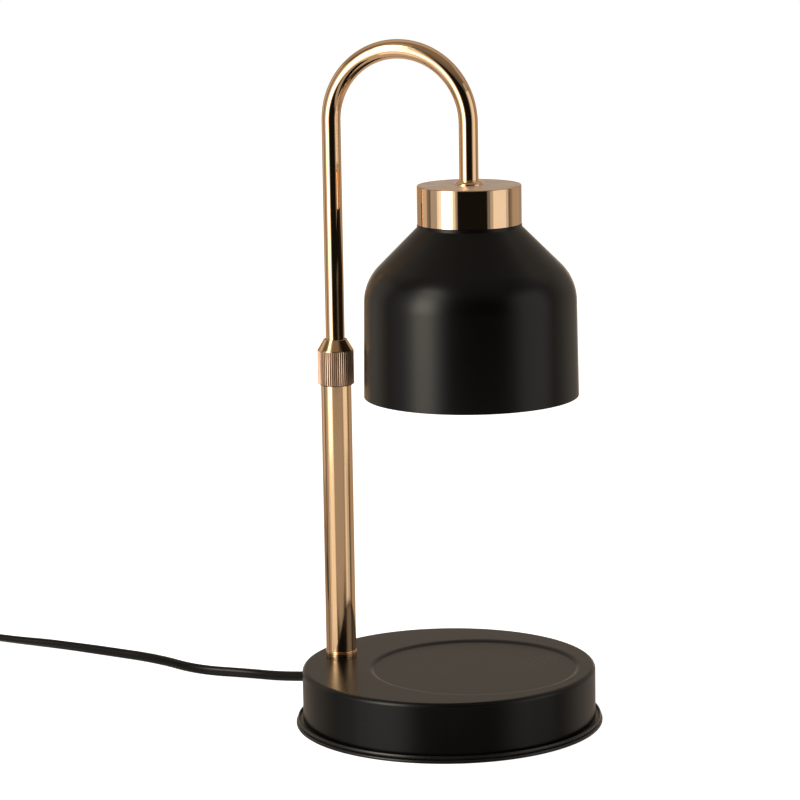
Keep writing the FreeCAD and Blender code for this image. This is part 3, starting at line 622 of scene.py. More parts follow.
# ---- sizes that several pieces share, in millimetres ----------------------------------------------
MAST_X, SHADE_X = -54.5, 13.0
MAST_AXIS, HEAD_AXIS = (MAST_X * MM, 0.0), (SHADE_X * MM, 0.0)
CAP_FOOT, CAP_TOP = 238.5, 256.5
ARM_R, ARM_WALL, ARM_FOOT, ARM_END, BEND_Z = 4.5, 0.8, 126.5, 247.0, 284.75
BASE_R, CORD_R, LEAD_OFFSET = 69.5, 2.5, 1.6
ROSE = (0.86, 0.575, 0.335)


@dataclass(frozen=True)
class CordExit:
    """Where the cord leaves the rear wall, with the joints inside; millimetres and degrees."""

    bearing: float = 160.0
    tilt: float = 9.0
    height: float = 10.0
    joint_depth: float = 35.0

    def direction(self) -> Vector:
        """Where the cord heads as it leaves the wall."""
        angle, tilt = math.radians(self.bearing), math.radians(self.tilt)
        return Vector((math.cos(angle) * math.cos(tilt), math.sin(angle) * math.cos(tilt), -math.sin(tilt)))

    def place(self) -> Vector:
        """Where the cord's axis meets the wall."""
        angle = math.radians(self.bearing)
        return Vector((BASE_R * math.cos(angle), BASE_R * math.sin(angle), self.height))

    def joint_end(self, side: int) -> Vector:
        """Where a crimped joint ends and the mast's lead starts; side is -1 or 1."""
        across = UP.cross(self.direction()).normalized()
        return self.place() - self.direction() * self.joint_depth + across * (side * LEAD_OFFSET)


CORD_EXIT = CordExit()


class Look(Enum):
    """The finishes of the lamp: a name, a colour, a roughness, then the finish's own sizes."""

    ENAMEL = Enamel("black_enamel_satin", (0.0022, 0.0020, 0.0018), 0.28)
    RUBBER = Moulded("rim_rubber", (0.0060, 0.0056, 0.0052), 0.28, 0.0006, 0.000004)
    FOAM = Moulded("pad_foam", (0.018, 0.018, 0.019), 0.85, 0.0007, 0.0003)
    MAST = Polish("rose_gold_mast", ROSE, 0.09, MAST_AXIS)
    ARM = Polish("rose_gold_arm", ROSE, 0.06)
    CAP = Polish("rose_gold_cap", (0.87, 0.61, 0.39), 0.055, HEAD_AXIS)
    CAP_FACE = Spun("rose_gold_blasted", (0.98, 0.84, 0.76), 0.46, HEAD_AXIS)
    KNURL = Knurling("knurled_brass_ribs", (0.87, 0.59, 0.43), 0.4, MAST_AXIS)
    BRASS = Polish("plain_brass_turned", (0.74, 0.52, 0.22), 0.2, MAST_AXIS)
    ZINC = Plated("zinc_plate", (0.60, 0.61, 0.62), 0.34)
    IRON = Casting("iron_casting", (0.045, 0.045, 0.048), 0.7)
    NYLON = Moulded("white_nylon_guide", (0.75, 0.74, 0.70), 0.45, 0.0008, 0.000006, 0.92, 0.15)
    CERAMIC = Ceramic("cream_ceramic_fired", (0.74, 0.69, 0.58), 0.5)
    MIRROR = Silvered("mirror_glass_bowl", (0.86, 0.85, 0.82), 0.06)
    GLASS = Glass("clear_glass_pressed", (1.0, 1.0, 1.0), 0.03)
    SLEEVE = Moulded("lead_sleeve_silicone", (0.62, 0.60, 0.56), 0.5, 0.0005, 0.000008, 0.9)
    CRIMP = Moulded("crimp_cap_nylon", (0.45, 0.42, 0.36), 0.4, 0.0009, 0.00003, 1.2)
    CORD = Jacket("cord_black_pvc", (0.0026, 0.0024, 0.0023), 0.26)
    PLASTIC = Moulded("black_plastic_grained", (0.010, 0.010, 0.010), 0.42, 0.0005, 0.000012)
    BOARD = Board("board_green_lacquer", (0.015, 0.11, 0.04), 0.35)
    GREY = Moulded("grey_plastic_part", (0.11, 0.11, 0.12), 0.45, 0.0006, 0.00001)
    PRINT = Moulded("dial_print_white", (0.62, 0.62, 0.60), 0.5, 0.0004, 0.000004, 0.9)
    NICKEL = Plated("nickel_pin", (0.66, 0.63, 0.58), 0.2, 0.003)

    def material(self) -> bpy.types.Material:
        """The material of this finish."""
        return self.value.material()


SLOT_LOOKS = {
    "black_enamel": Look.ENAMEL,
    "black_rubber": Look.RUBBER,
    "black_foam": Look.FOAM,
    "rose_gold": Look.MAST,
    "knurled_brass": Look.KNURL,
    "plain_brass": Look.BRASS,
    "zinc_steel": Look.ZINC,
    "cast_iron": Look.IRON,
    "white_nylon": Look.NYLON,
    "cream_ceramic": Look.CERAMIC,
    "mirror_glass": Look.MIRROR,
    "clear_glass": Look.GLASS,
    "lead_sleeve": Look.SLEEVE,
    "crimp_cap": Look.CRIMP,
    "cord_black": Look.PLASTIC,
    "black_plastic": Look.PLASTIC,
    "board_green": Look.BOARD,
    "grey_plastic": Look.GREY,
    "nickel": Look.NICKEL,
}


# ---- meshes ----------------------------------------------------------------------------------------
@dataclass(frozen=True)
class Arc:
    """A stretch of an outline that is an arc, through its middle to its end."""

    middle: Flat
    end: Flat


def arc_points(start: Flat, middle: Flat, end: Flat, step: float) -> list[Flat]:
    """Points on the arc after its start, no more than step degrees apart.

    Args:
        start: Where the arc starts.
        middle: A place that the arc goes through.
        end: Where the arc ends.
        step: Widest angle between two points, in degrees.

    Returns:
        The points, the last of them at the end.
    """
    (ax, ay), (bx, by), (cx, cy) = start, middle, end
    d = 2.0 * (ax * (by - cy) + bx * (cy - ay) + cx * (ay - by))
    a2, b2, c2 = ax * ax + ay * ay, bx * bx + by * by, cx * cx + cy * cy
    ox = (a2 * (by - cy) + b2 * (cy - ay) + c2 * (ay - by)) / d
    oy = (a2 * (cx - bx) + b2 * (ax - cx) + c2 * (bx - ax)) / d
    radius = math.hypot(ax - ox, ay - oy)
    first = math.atan2(ay - oy, ax - ox)
    through = (math.atan2(by - oy, bx - ox) - first) % math.tau
    sweep = (math.atan2(cy - oy, cx - ox) - first) % math.tau
    if through > sweep:
        sweep -= math.tau
    count = max(2, math.ceil(abs(math.degrees(sweep)) / step))
    angles = [first + sweep * i / count for i in range(1, count + 1)]
    return [(ox + radius * math.cos(a), oy + radius * math.sin(a)) for a in angles]


def outline(*steps: Flat | Arc, step: float = 7.5) -> list[Flat]:
    """Points of a closed outline of (radius, height) in millimetres.

    Args:
        steps: Corners and arcs in order.
        step: The most that an arc turns between two points, in degrees.

    Returns:
        The points, with one near each end of every long straight stretch, so that it shades flat.
    """
    near, points, here = 0.15, [steps[0]], steps[0]
    for there in (*steps[1:], steps[0]):
        if isinstance(there, Arc):
            points += arc_points(here, there.middle, there.end, step)
            here = there.end
            continue
        length = math.dist(here, there)
        if length > 6 * near:
            for share in (near / length, 1.0 - near / length):
                points.append(tuple(h + (t - h) * share for h, t in zip(here, there)))
        points.append(there)
        here = there
    return points[:-1]


def add_piece(name: str, mesh: bpy.types.Mesh) -> bpy.types.Object:
    """Put a mesh in the scene as an object at the origin.

    Args:
        name: The piece's name.
        mesh: Its mesh, with its place in it.

    Returns:
        The new object.
    """
    piece = bpy.data.objects.new(name, mesh)
    bpy.context.scene.collection.objects.link(piece)
    return piece


def closed_up(mesh: bpy.types.Mesh, smooth: float = 30.0, recalculate: bool = True) -> None:
    """Merge a mesh's doubles, turn its faces outwards and shade it smooth but for its sharp edges.

    Args:
        mesh: The mesh to mend in place.
        smooth: Angle in degrees above which an edge stays sharp.
        recalculate: Whether the faces are turned outwards.
    """
    work = bmesh.new()
    work.from_mesh(mesh)
    bmesh.ops.remove_doubles(work, verts=work.verts, dist=SAME_PLACE)
    bmesh.ops.dissolve_degenerate(work, edges=work.edges, dist=NO_LENGTH)
    if recalculate:
        bmesh.ops.recalc_face_normals(work, faces=work.faces)
    work.to_mesh(mesh)
    work.free()
    mesh.shade_smooth()
    mesh.set_sharp_from_angle(angle=math.radians(smooth))


def skin(
    name: str, rings: Sequence[Ring], look: Look, loop: bool = True, smooth: float = 30.0, uv: bool = False
) -> bpy.types.Object:
    """A closed skin over rings of equal count.

    Args:
        name: The piece's name.
        rings: Closed rings of points, in order.
        look: Its finish.
        loop: The last ring joins the first; otherwise both ends are capped.
        smooth: Edges sharper than this many degrees stay sharp.
        uv: Give it a UV map, in turns around it and in centimetres along it.

    Returns:
        The new piece.
    """
    count = len(rings[0])
    total = len(rings)
    faces = []
    for i in range(total if loop else total - 1):
        low, high = i * count, (i + 1) % total * count
        faces += [(low + j, low + (j + 1) % count, high + (j + 1) % count, high + j) for j in range(count)]
    sides = len(faces)
    if not loop:
        faces += [tuple(range(count - 1, -1, -1)), tuple((total - 1) * count + j for j in range(count))]
    mesh = bpy.data.meshes.new(name)
    mesh.from_pydata([v for ring in rings for v in ring], [], faces)
    if uv:
        along = lengths([ring[0] for ring in rings])
        layer = mesh.uv_layers.new(name="UVMap").data
        for face in mesh.polygons[:sides]:
            row, column = divmod(face.index, count)
            for loop_index, (j, i) in zip(face.loop_indices, ((0, 0), (1, 0), (1, 1), (0, 1))):
                layer[loop_index].uv = ((column + j) / count, along[min(row + i, total - 1)] / (10 * MM))
    mesh.materials.append(look.material())
    closed_up(mesh, smooth)
    return add_piece(name, mesh)


def circle(radius: float, z: float, x: float = 0.0, count: int = 128) -> Ring:
    """A level ring of points about an upright axis at x; sizes in millimetres.

    Args:
        radius: Radius of the ring.
        z: Its height.
        x: Place of the axis.
        count: How many points it has.

    Returns:
        The points of the ring.
    """
    turn = math.tau / count
    return [
        Vector((x + radius * math.cos(i * turn), radius * math.sin(i * turn), z)) * MM for i in range(count)
    ]


def lathe(
    name: str, points: Sequence[Flat], look: Look, x: float = 0.0, count: int = 128, smooth: float = 30.0
) -> bpy.types.Object:
    """A piece turned about the upright axis at x from a closed outline in millimetres."""
    return skin(name, [circle(r, z, x, count) for r, z in points], look, True, smooth)


def spline_line(points: Sequence[Place]) -> list[Vector]:
    """Points along the quadratic NURBS spline with these control points, in metres.

    Args:
        points: The control points, in millimetres.

    Returns:
        Points along the spline, as Blender samples it.
    """
    curve = bpy.data.curves.new("route", "CURVE")
    curve.dimensions = "3D"
    spline = curve.splines.new("NURBS")
    spline.points.add(len(points) - 1)
    for point, place in zip(spline.points, points):
        point.co = (*(c * MM for c in place), 1.0)
    spline.order_u = 3
    spline.use_endpoint_u = True
    spline.resolution_u = 12
    holder = add_piece("route", curve)
    mesh = bpy.data.meshes.new_from_object(holder)
    line = [v.co.copy() for v in mesh.vertices]
    bpy.data.objects.remove(holder)
    bpy.data.curves.remove(curve)
    bpy.data.meshes.remove(mesh)
    return line


def lengths(line: Sequence[Vector]) -> list[float]:
    """Distance of each point of a line from its start.

    Args:
        line: Points of the line.

    Returns:
        One distance for each point, from 0 on.
    """
    run = [0.0]
    for before, after in zip(line, line[1:]):
        run.append(run[-1] + (after - before).length)
    return run


def between(keys: Sequence[Flat], at: float) -> float:
    """Value at a place, eased between (place, value) keys.

    Args:
        keys: Places and values, by rising place.
        at: The place asked for.

    Returns:
        The value there.
    """
    if at <= keys[0][0]:
        return keys[0][1]
    for (a, low), (b, high) in zip(keys, keys[1:]):
        if at <= b:
            t = (at - a) / (b - a)
            return low + (high - low) * t * t * (3.0 - 2.0 * t)
    return keys[-1][1]


def tangents(line: Sequence[Vector], closed: bool = False) -> list[Vector]:
    """Unit directions along a line at its points.

    Args:
        line: Points of the line.
        closed: Whether its end meets its start.

    Returns:
        One unit vector for each point.
    """
    last = len(line) - 1
    found = []
    for i in range(len(line)):
        before = line[i - 1] if i or closed else line[i]
        after = line[(i + 1) % len(line)] if i < last or closed else line[i]
        found.append((after - before).normalized())
    return found


def tube_rings(
    line: Sequence[Vector],
    section: Sequence[Flat],
    side_at: Callable[[int, Vector], Vector],
    closed: bool = False,
) -> list[Ring]:
    """Rings of a section carried along a line.

    Args:
        line: The line's points, in metres.
        section: Points (across, up) of the section, in millimetres.
        side_at: Gives the across direction from a point's number and the line's direction there.
        closed: Whether the line joins its own start.

    Returns:
        One ring for each point of the line.
    """
    rings = []
    for i, (point, along) in enumerate(zip(line, tangents(line, closed))):
        side = side_at(i, along)
        up = side.cross(along)
        rings.append([point + (side * a + up * b) * MM for a, b in section])
    return rings


def round_section(radius: float, count: int = 16) -> list[Flat]:
    """A circle as a section."""
    turn = math.tau / count
    return [(radius * math.cos(i * turn), radius * math.sin(i * turn)) for i in range(count)]


def joined(name: str, pieces: Sequence[bpy.types.Object]) -> bpy.types.Object:
    """Several pieces of one finish as one piece.

    Args:
        name: The new piece's name.
        pieces: The pieces, which are used up.

    Returns:
        The new piece.
    """
    work = bmesh.new()
    for piece in pieces:
        work.from_mesh(piece.data)
    mesh = bpy.data.meshes.new(name)
    work.to_mesh(mesh)
    work.free()
    mesh.materials.append(pieces[0].data.materials[0])
    for piece in pieces:
        bpy.data.objects.remove(piece)
    return add_piece(name, mesh)


def baked(name: str, source: bpy.types.Object) -> bpy.types.Object:
    """A plain piece from an object with modifiers, which is removed.

    Args:
        name: The new piece's name.
        source: The object with its modifiers.

    Returns:
        The new piece.
    """
    evaluated = source.evaluated_get(bpy.context.evaluated_depsgraph_get())
    mesh = bpy.data.meshes.new_from_object(evaluated)
    source.modifiers.clear()
    bpy.data.objects.remove(source)
    mesh.name = name
    return add_piece(name, mesh)


def drilled(name: str, piece: bpy.types.Object, drills: Sequence[bpy.types.Object]) -> bpy.types.Object:
    """A painted piece with holes where the drills are; the drills are removed.

    Args:
        name: The new piece's name.
        piece: What is drilled.
        drills: Closed solids in the shape of the holes.

    Returns:
        The drilled piece.
    """
    for tool in drills:
        cut = piece.modifiers.new("hole", "BOOLEAN")
        cut.operation = "DIFFERENCE"
        cut.solver = "EXACT"
        cut.object = tool
    piece = baked(name, piece)
    piece.data.materials.clear()
    piece.data.materials.append(Look.ENAMEL.material())
    for face in piece.data.polygons:
        face.material_index = 0
    for tool in drills:
        bpy.data.objects.remove(tool)
    closed_up(piece.data)
    return piece


def drill(start: Vector, end: Vector, radius: float) -> bpy.types.Object:
    """A plain rod in the shape of a hole; sizes in millimetres.

    Args:
        start: Centre of one end.
        end: Centre of the other.
        radius: Its radius.

    Returns:
        The rod.
    """
    side = (end - start).normalized().orthogonal().normalized()
    rings = tube_rings([start * MM, end * MM], round_section(radius, 48), lambda i, t: side)
    return skin("drill", rings, Look.ENAMEL, False)


def fit(piece: bpy.types.Object, body: str, slot: str, *nodes: str) -> bpy.types.Object:
    """Let a finished piece ride on its body and stand for CAD nodes.

    Args:
        piece: The finished piece.
        body: The body that it moves with.
        slot: Not used.
        nodes: The CAD nodes that it replaces.

    Returns:
        The same piece.
    """
    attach(piece, body)
    if nodes:
        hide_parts(*nodes)
    LOG.info("%s rides on %s, %d faces", piece.name, body, len(piece.data.polygons))
    return piece


# ---- repeats made by Geometry Nodes ----------------------------------------------------------------
class Repeat:
    """A Geometry Nodes tree with named inputs, and the pieces grown from it."""

    KINDS: ClassVar[dict[type, str]] = {
        int: "NodeSocketInt",
        float: "NodeSocketFloat",
        Vector: "NodeSocketVector",
        bpy.types.Material: "NodeSocketMaterial",
    }

    def __init__(self, shape: Callable[[Graph, dict], Socket], inputs: dict[str, type]) -> None:
        """Write the tree: its inputs, its shape, then Realize Instances and Set Material.

        Args:
            shape: What builds the geometry from the inputs; the tree gets its name.
            inputs: Names and kinds of the inputs.
        """
        self.tree = bpy.data.node_groups.new(shape.__name__, "GeometryNodeTree")
        g = Graph(self.tree)
        for label, kind in {**inputs, "Finish": bpy.types.Material}.items():
            self.tree.interface.new_socket(label, in_out="INPUT", socket_type=self.KINDS[kind])
        self.tree.interface.new_socket("Geometry", in_out="OUTPUT", socket_type="NodeSocketGeometry")
        first = g.node("NodeGroupInput")
        grown = shape(g, {label: first.at(label) for label in inputs})
        real = g.node("GeometryNodeRealizeInstances", None, {0: grown})
        smooth = g.node("GeometryNodeSetShadeSmooth", None, {0: real})
        dressed = g.node("GeometryNodeSetMaterial", None, {0: smooth, 2: first.at("Finish")})
        g.node("NodeGroupOutput", None, {0: dressed})

    def grow(self, name: str, look: Look, **sizes: object) -> bpy.types.Object:
        """A plain piece from the tree.

        Args:
            name: The piece's name.
            look: Its finish.
            sizes: The tree's inputs, by their labels in lower case with underscores.

        Returns:
            The piece, with its modifier gone.
        """
        source = add_piece(name + "_source", bpy.data.meshes.new(name + "_source"))
        modifier = source.modifiers.new("grow", "NODES")
        modifier.node_group = self.tree
        for item in self.tree.interface.items_tree:
            if item.in_out == "INPUT":
                key = item.name.lower().replace(" ", "_")
                modifier[item.identifier] = look.material() if key == "finish" else sizes[key]
        piece = baked(name, source)
        closed_up(piece.data, smooth=40.0, recalculate=False)
        return piece


BARS_AROUND = {"Count": int, "Sides": int} | dict.fromkeys(
    (
        "Radius", "Start", "Step", "Height", "Centre X", "Centre Y",
        "Bar radius", "Bar length", "Lean", "Twist",
    ),
    float,
)
BANDS_ALONG = {
    "Count": int, "Pitch": float, "First radius": float, "Taper": float, "Thickness": float,
    "Place": Vector, "Turn": Vector,
}
BARS_IN_ROW = {
    "Count": int, "Place": Vector, "Row step": Vector,
    "Bar radius": float, "Bar length": float, "Turn": Vector,
}
BENT_PIPE = {"Steps": int} | dict.fromkeys(
    ("Near X", "Far X", "Foot Z", "Bend Z", "End Z", "Support", "Pipe radius"), float
)


def bars_around(g: Graph, size: dict[str, Socket]) -> Socket:
    """Bars on an arc about an upright axis; lean tips them from upright to radial.

    Args:
        g: The graph of the tree.
        size: Sockets of the tree's inputs, by name.

    Returns:
        Geometry of the bars, as instances.
    """
    index = g.node("GeometryNodeInputIndex")
    angle = size["Start"] + index * size["Step"]
    reach = size["Radius"]
    place = g.vector(
        g.maths("COSINE", angle) * reach + size["Centre X"],
        g.maths("SINE", angle) * reach + size["Centre Y"],
        size["Height"],
    )
    points = g.node("GeometryNodePoints", None, {"Count": size["Count"], "Position": place})
    sockets = {"Vertices": size["Sides"], "Radius": size["Bar radius"], "Depth": size["Bar length"]}
    bar = g.node("GeometryNodeMeshCylinder", None, sockets)
    twist = angle + size["Twist"]
    turn = g.node("FunctionNodeEulerToRotation", None, {0: g.vector(0.0, size["Lean"], twist)})
    sockets = {"Points": points, "Instance": bar, "Rotation": turn}
    return g.node("GeometryNodeInstanceOnPoints", None, sockets)


def bands_along(g: Graph, size: dict[str, Socket]) -> Socket:
    """Round bands in a row along a tapering axis, turned and moved into place.

    Args:
        g: The graph of the tree.
        size: Sockets of the tree's inputs, by name.

    Returns:
        Geometry of the bands, as instances.
    """
    index = g.node("GeometryNodeInputIndex")
    place = g.vector(0.0, 0.0, index * size["Pitch"])
    points = g.node("GeometryNodePoints", None, {"Count": size["Count"], "Position": place})
    sockets = {"Resolution": 40, "Radius": size["First radius"]}
    loop = g.node("GeometryNodeCurvePrimitiveCircle", None, sockets)
    cord = g.node("GeometryNodeCurvePrimitiveCircle", None, {"Resolution": 10, "Radius": size["Thickness"]})
    band = g.node("GeometryNodeCurveToMesh", None, {"Curve": loop, "Profile Curve": cord})
    scale = 1.0 - index * size["Taper"]
    sockets = {"Points": points, "Instance": band, "Scale": g.vector(scale, scale, 1.0)}
    row = g.node("GeometryNodeInstanceOnPoints", None, sockets)
    sockets = {"Geometry": row, "Translation": size["Place"], "Rotation": size["Turn"]}
    return g.node("GeometryNodeTransform", None, sockets)


def bars_in_row(g: Graph, size: dict[str, Socket]) -> Socket:
    """Bars side by side in a row, all turned the same way.

    Args:
        g: The graph of the tree.
        size: Sockets of the tree's inputs, by name.

    Returns:
        Geometry of the bars, as instances.
    """
    index = g.node("GeometryNodeInputIndex")
    step = g.node("ShaderNodeVectorMath", {"operation": "SCALE"}, {0: size["Row step"], "Scale": index})
    place = g.node("ShaderNodeVectorMath", {"operation": "ADD"}, {0: size["Place"], 1: step})
    points = g.node("GeometryNodePoints", None, {"Count": size["Count"], "Position": place})
    sockets = {"Vertices": 12, "Radius": size["Bar radius"], "Depth": size["Bar length"]}
    bar = g.node("GeometryNodeMeshCylinder", None, sockets)
    turn = g.node("FunctionNodeEulerToRotation", None, {0: size["Turn"]})
    sockets = {"Points": points, "Instance": bar, "Rotation": turn}
    return g.node("GeometryNodeInstanceOnPoints", None, sockets)


def bent_pipe(g: Graph, size: dict[str, Socket]) -> Socket:
    """The skin of a pipe that goes straight up, over a half round and straight down.

    Args:
        g: The graph of the tree.
        size: Sockets of the tree's inputs, by name.

    Returns:
        The skin's geometry.
    """
    index = g.node("GeometryNodeInputIndex")
    steps = size["Steps"]
    share = ((index - 2.0) / steps).clamped()
    turn = share * math.pi
    radius = (size["Far X"] - size["Near X"]) * 0.5
    middle = (size["Far X"] + size["Near X"]) * 0.5
    x = middle - radius * g.maths("COSINE", turn)
    first, second = index < 0.5, index < 1.5
    last, near_last = index > steps + 3.5, index > steps + 2.5
    straight = size["Bend Z"] - size["Support"] * (second + near_last)
    height = straight + radius * g.maths("SINE", turn)
    height = height + first * (size["Foot Z"] - height) + last * (size["End Z"] - height)
    points = g.node("GeometryNodePoints", None, {"Count": steps + 5.0, "Position": g.vector(x, 0.0, height)})
    line = g.node("GeometryNodePointsToCurves", None, {"Points": points})
    sockets = {"Resolution": 72, "Radius": size["Pipe radius"]}
    ring = g.node("GeometryNodeCurvePrimitiveCircle", None, sockets)
    return g.node("GeometryNodeCurveToMesh", None, {"Curve": line, "Profile Curve": ring})


# ---- the base --------------------------------------------------------------------------------------
@dataclass
class Base:
    """The weighted base: drawn cover with its dish, rim bead; sizes in millimetres."""

    radius: float = BASE_R
    top: float = 27.5
    sheet: float = 1.2
    foot: float = 2.6
    edge: float = 2.0
    dish_radius: float = 47.5
    dish_edge: float = 50.3
    dish_depth: float = 0.9
    bead_radius: float = 72.8
    mast_hole: float = 5.1
    cord_hole: float = 4.25
    segments: int = 192

    def dish_side(self, drop: float) -> list[Flat]:
        """The dish's rising edge, from the rim inwards: a wide arc over a tight one.

        Args:
            drop: Depth of the outline inside the sheet.

        Returns:
            Points of (radius, height).
        """
        width = self.dish_edge - self.dish_radius
        both = (width**2 + self.dish_depth**2) / (2 * self.dish_depth)
        slope = math.asin(width / both)
        wide_share, tight_share, steps = 0.82, 0.18, 6
        wide, tight = both * wide_share, both * tight_share
        points = []
        for i in range(steps + 1):
            a, r = slope * i / steps, wide - drop
            points.append((self.dish_edge - r * math.sin(a), self.top - wide + r * math.cos(a)))
        for i in range(steps - 1, -1, -1):
            a, r = slope * i / steps, tight + drop
            middle = self.top - self.dish_depth + tight
            points.append((self.dish_radius + r * math.sin(a), middle - r * math.cos(a)))
        return points

    def cover(self) -> bpy.types.Object:
        """The drawn cover: wall, rounded edge, top and dish in one sheet, with the mast's and cord's holes.

        Returns:
            The cover as one piece.
        """
        k, n = 1 - math.sqrt(0.5), self.segments
        r, top, edge, near, step = self.radius, self.top, self.edge, 0.15, 0.2
        inner, under, inside = r - self.sheet, top - self.sheet, edge - self.sheet
        wall = [(r, self.foot), (r, self.foot + near), (r, top - edge - near), (r, top - edge)]
        wall += arc_points((r, top - edge), (r - edge * k, top - edge * k), (r - edge, top), 7.5)
        rings = [circle(a, b, 0.0, n) for a, b in [*wall, (r - edge - step, top)]]
        rings.append(circle(self.dish_edge + step, top, SHADE_X, n))
        rings += [circle(a, b, SHADE_X, n) for a, b in self.dish_side(0.0)]
        floor = top - self.dish_depth
        middle = [(self.dish_radius - step, floor), (self.dish_radius / 2, floor), (0.0, floor)]
        rings += [circle(a, b, SHADE_X, n) for a, b in middle]
        rings += [circle(a, b - self.sheet, SHADE_X, n) for a, b in reversed(middle)]
        rings += [circle(a, b, SHADE_X, n) for a, b in reversed(self.dish_side(self.sheet))]
        rings.append(circle(self.dish_edge + step, under, SHADE_X, n))
        middle = (inner - inside * k, under - inside * k)
        back = arc_points((inner - inside, under), middle, (inner, under - inside), 15)
        rings += [circle(a, b, 0.0, n) for a, b in [(inner - inside, under), *back, (inner, self.foot)]]
        shell = skin("cover_sheet", rings, Look.ENAMEL)
        below, above = Vector((MAST_X, 0, 20)), Vector((MAST_X, 0, 32))
        through, hole = CORD_EXIT.direction() * 4, CORD_EXIT.place()
        drills = [
            drill(below, above, self.mast_hole),
            drill(hole - through, hole + through, self.cord_hole),
        ]
        return drilled("cover_shell", shell, drills)

    def bead(self) -> bpy.types.Object:
        """The soft bead around the foot: a standing lip behind a deep gap, and a lower ring proud of it.

        Returns:
            The bead as one piece.
        """
        r, inner, top, foot, flange = self.bead_radius, 70.4, 3.6, 0.2, 66.0
        lip_in, lip_out, groove_r, groove_z = 71.0, 72.15, 71.5, 2.0
        points = outline(
            (flange, 2.0),
            (inner, 2.0),
            (inner, foot),
            (r - 0.6, foot),
            Arc((r - 0.12, foot + 0.2), (r, foot + 0.65)),
            Arc((r - 0.15, groove_z - 0.5), (r - 0.55, groove_z - 0.25)),
            (groove_r, groove_z),
            (lip_out - 0.1, groove_z + 0.25),
            Arc((lip_out, groove_z + 0.75), (lip_out - 0.15, top - 0.3)),
            Arc((lip_out - 0.4, top), (lip_in + 0.15, top - 0.25)),
            (lip_in, self.foot),
            (flange, self.foot),
        )
        return lathe("rim_bead", points, Look.RUBBER, count=self.segments, smooth=40.0)

    def build(self) -> None:
        """Make and fit the base's pieces."""
        fit(self.cover(), "base", "black_enamel", "base_housing")
        fit(self.bead(), "base", "black_rubber", "base_rim_trim")


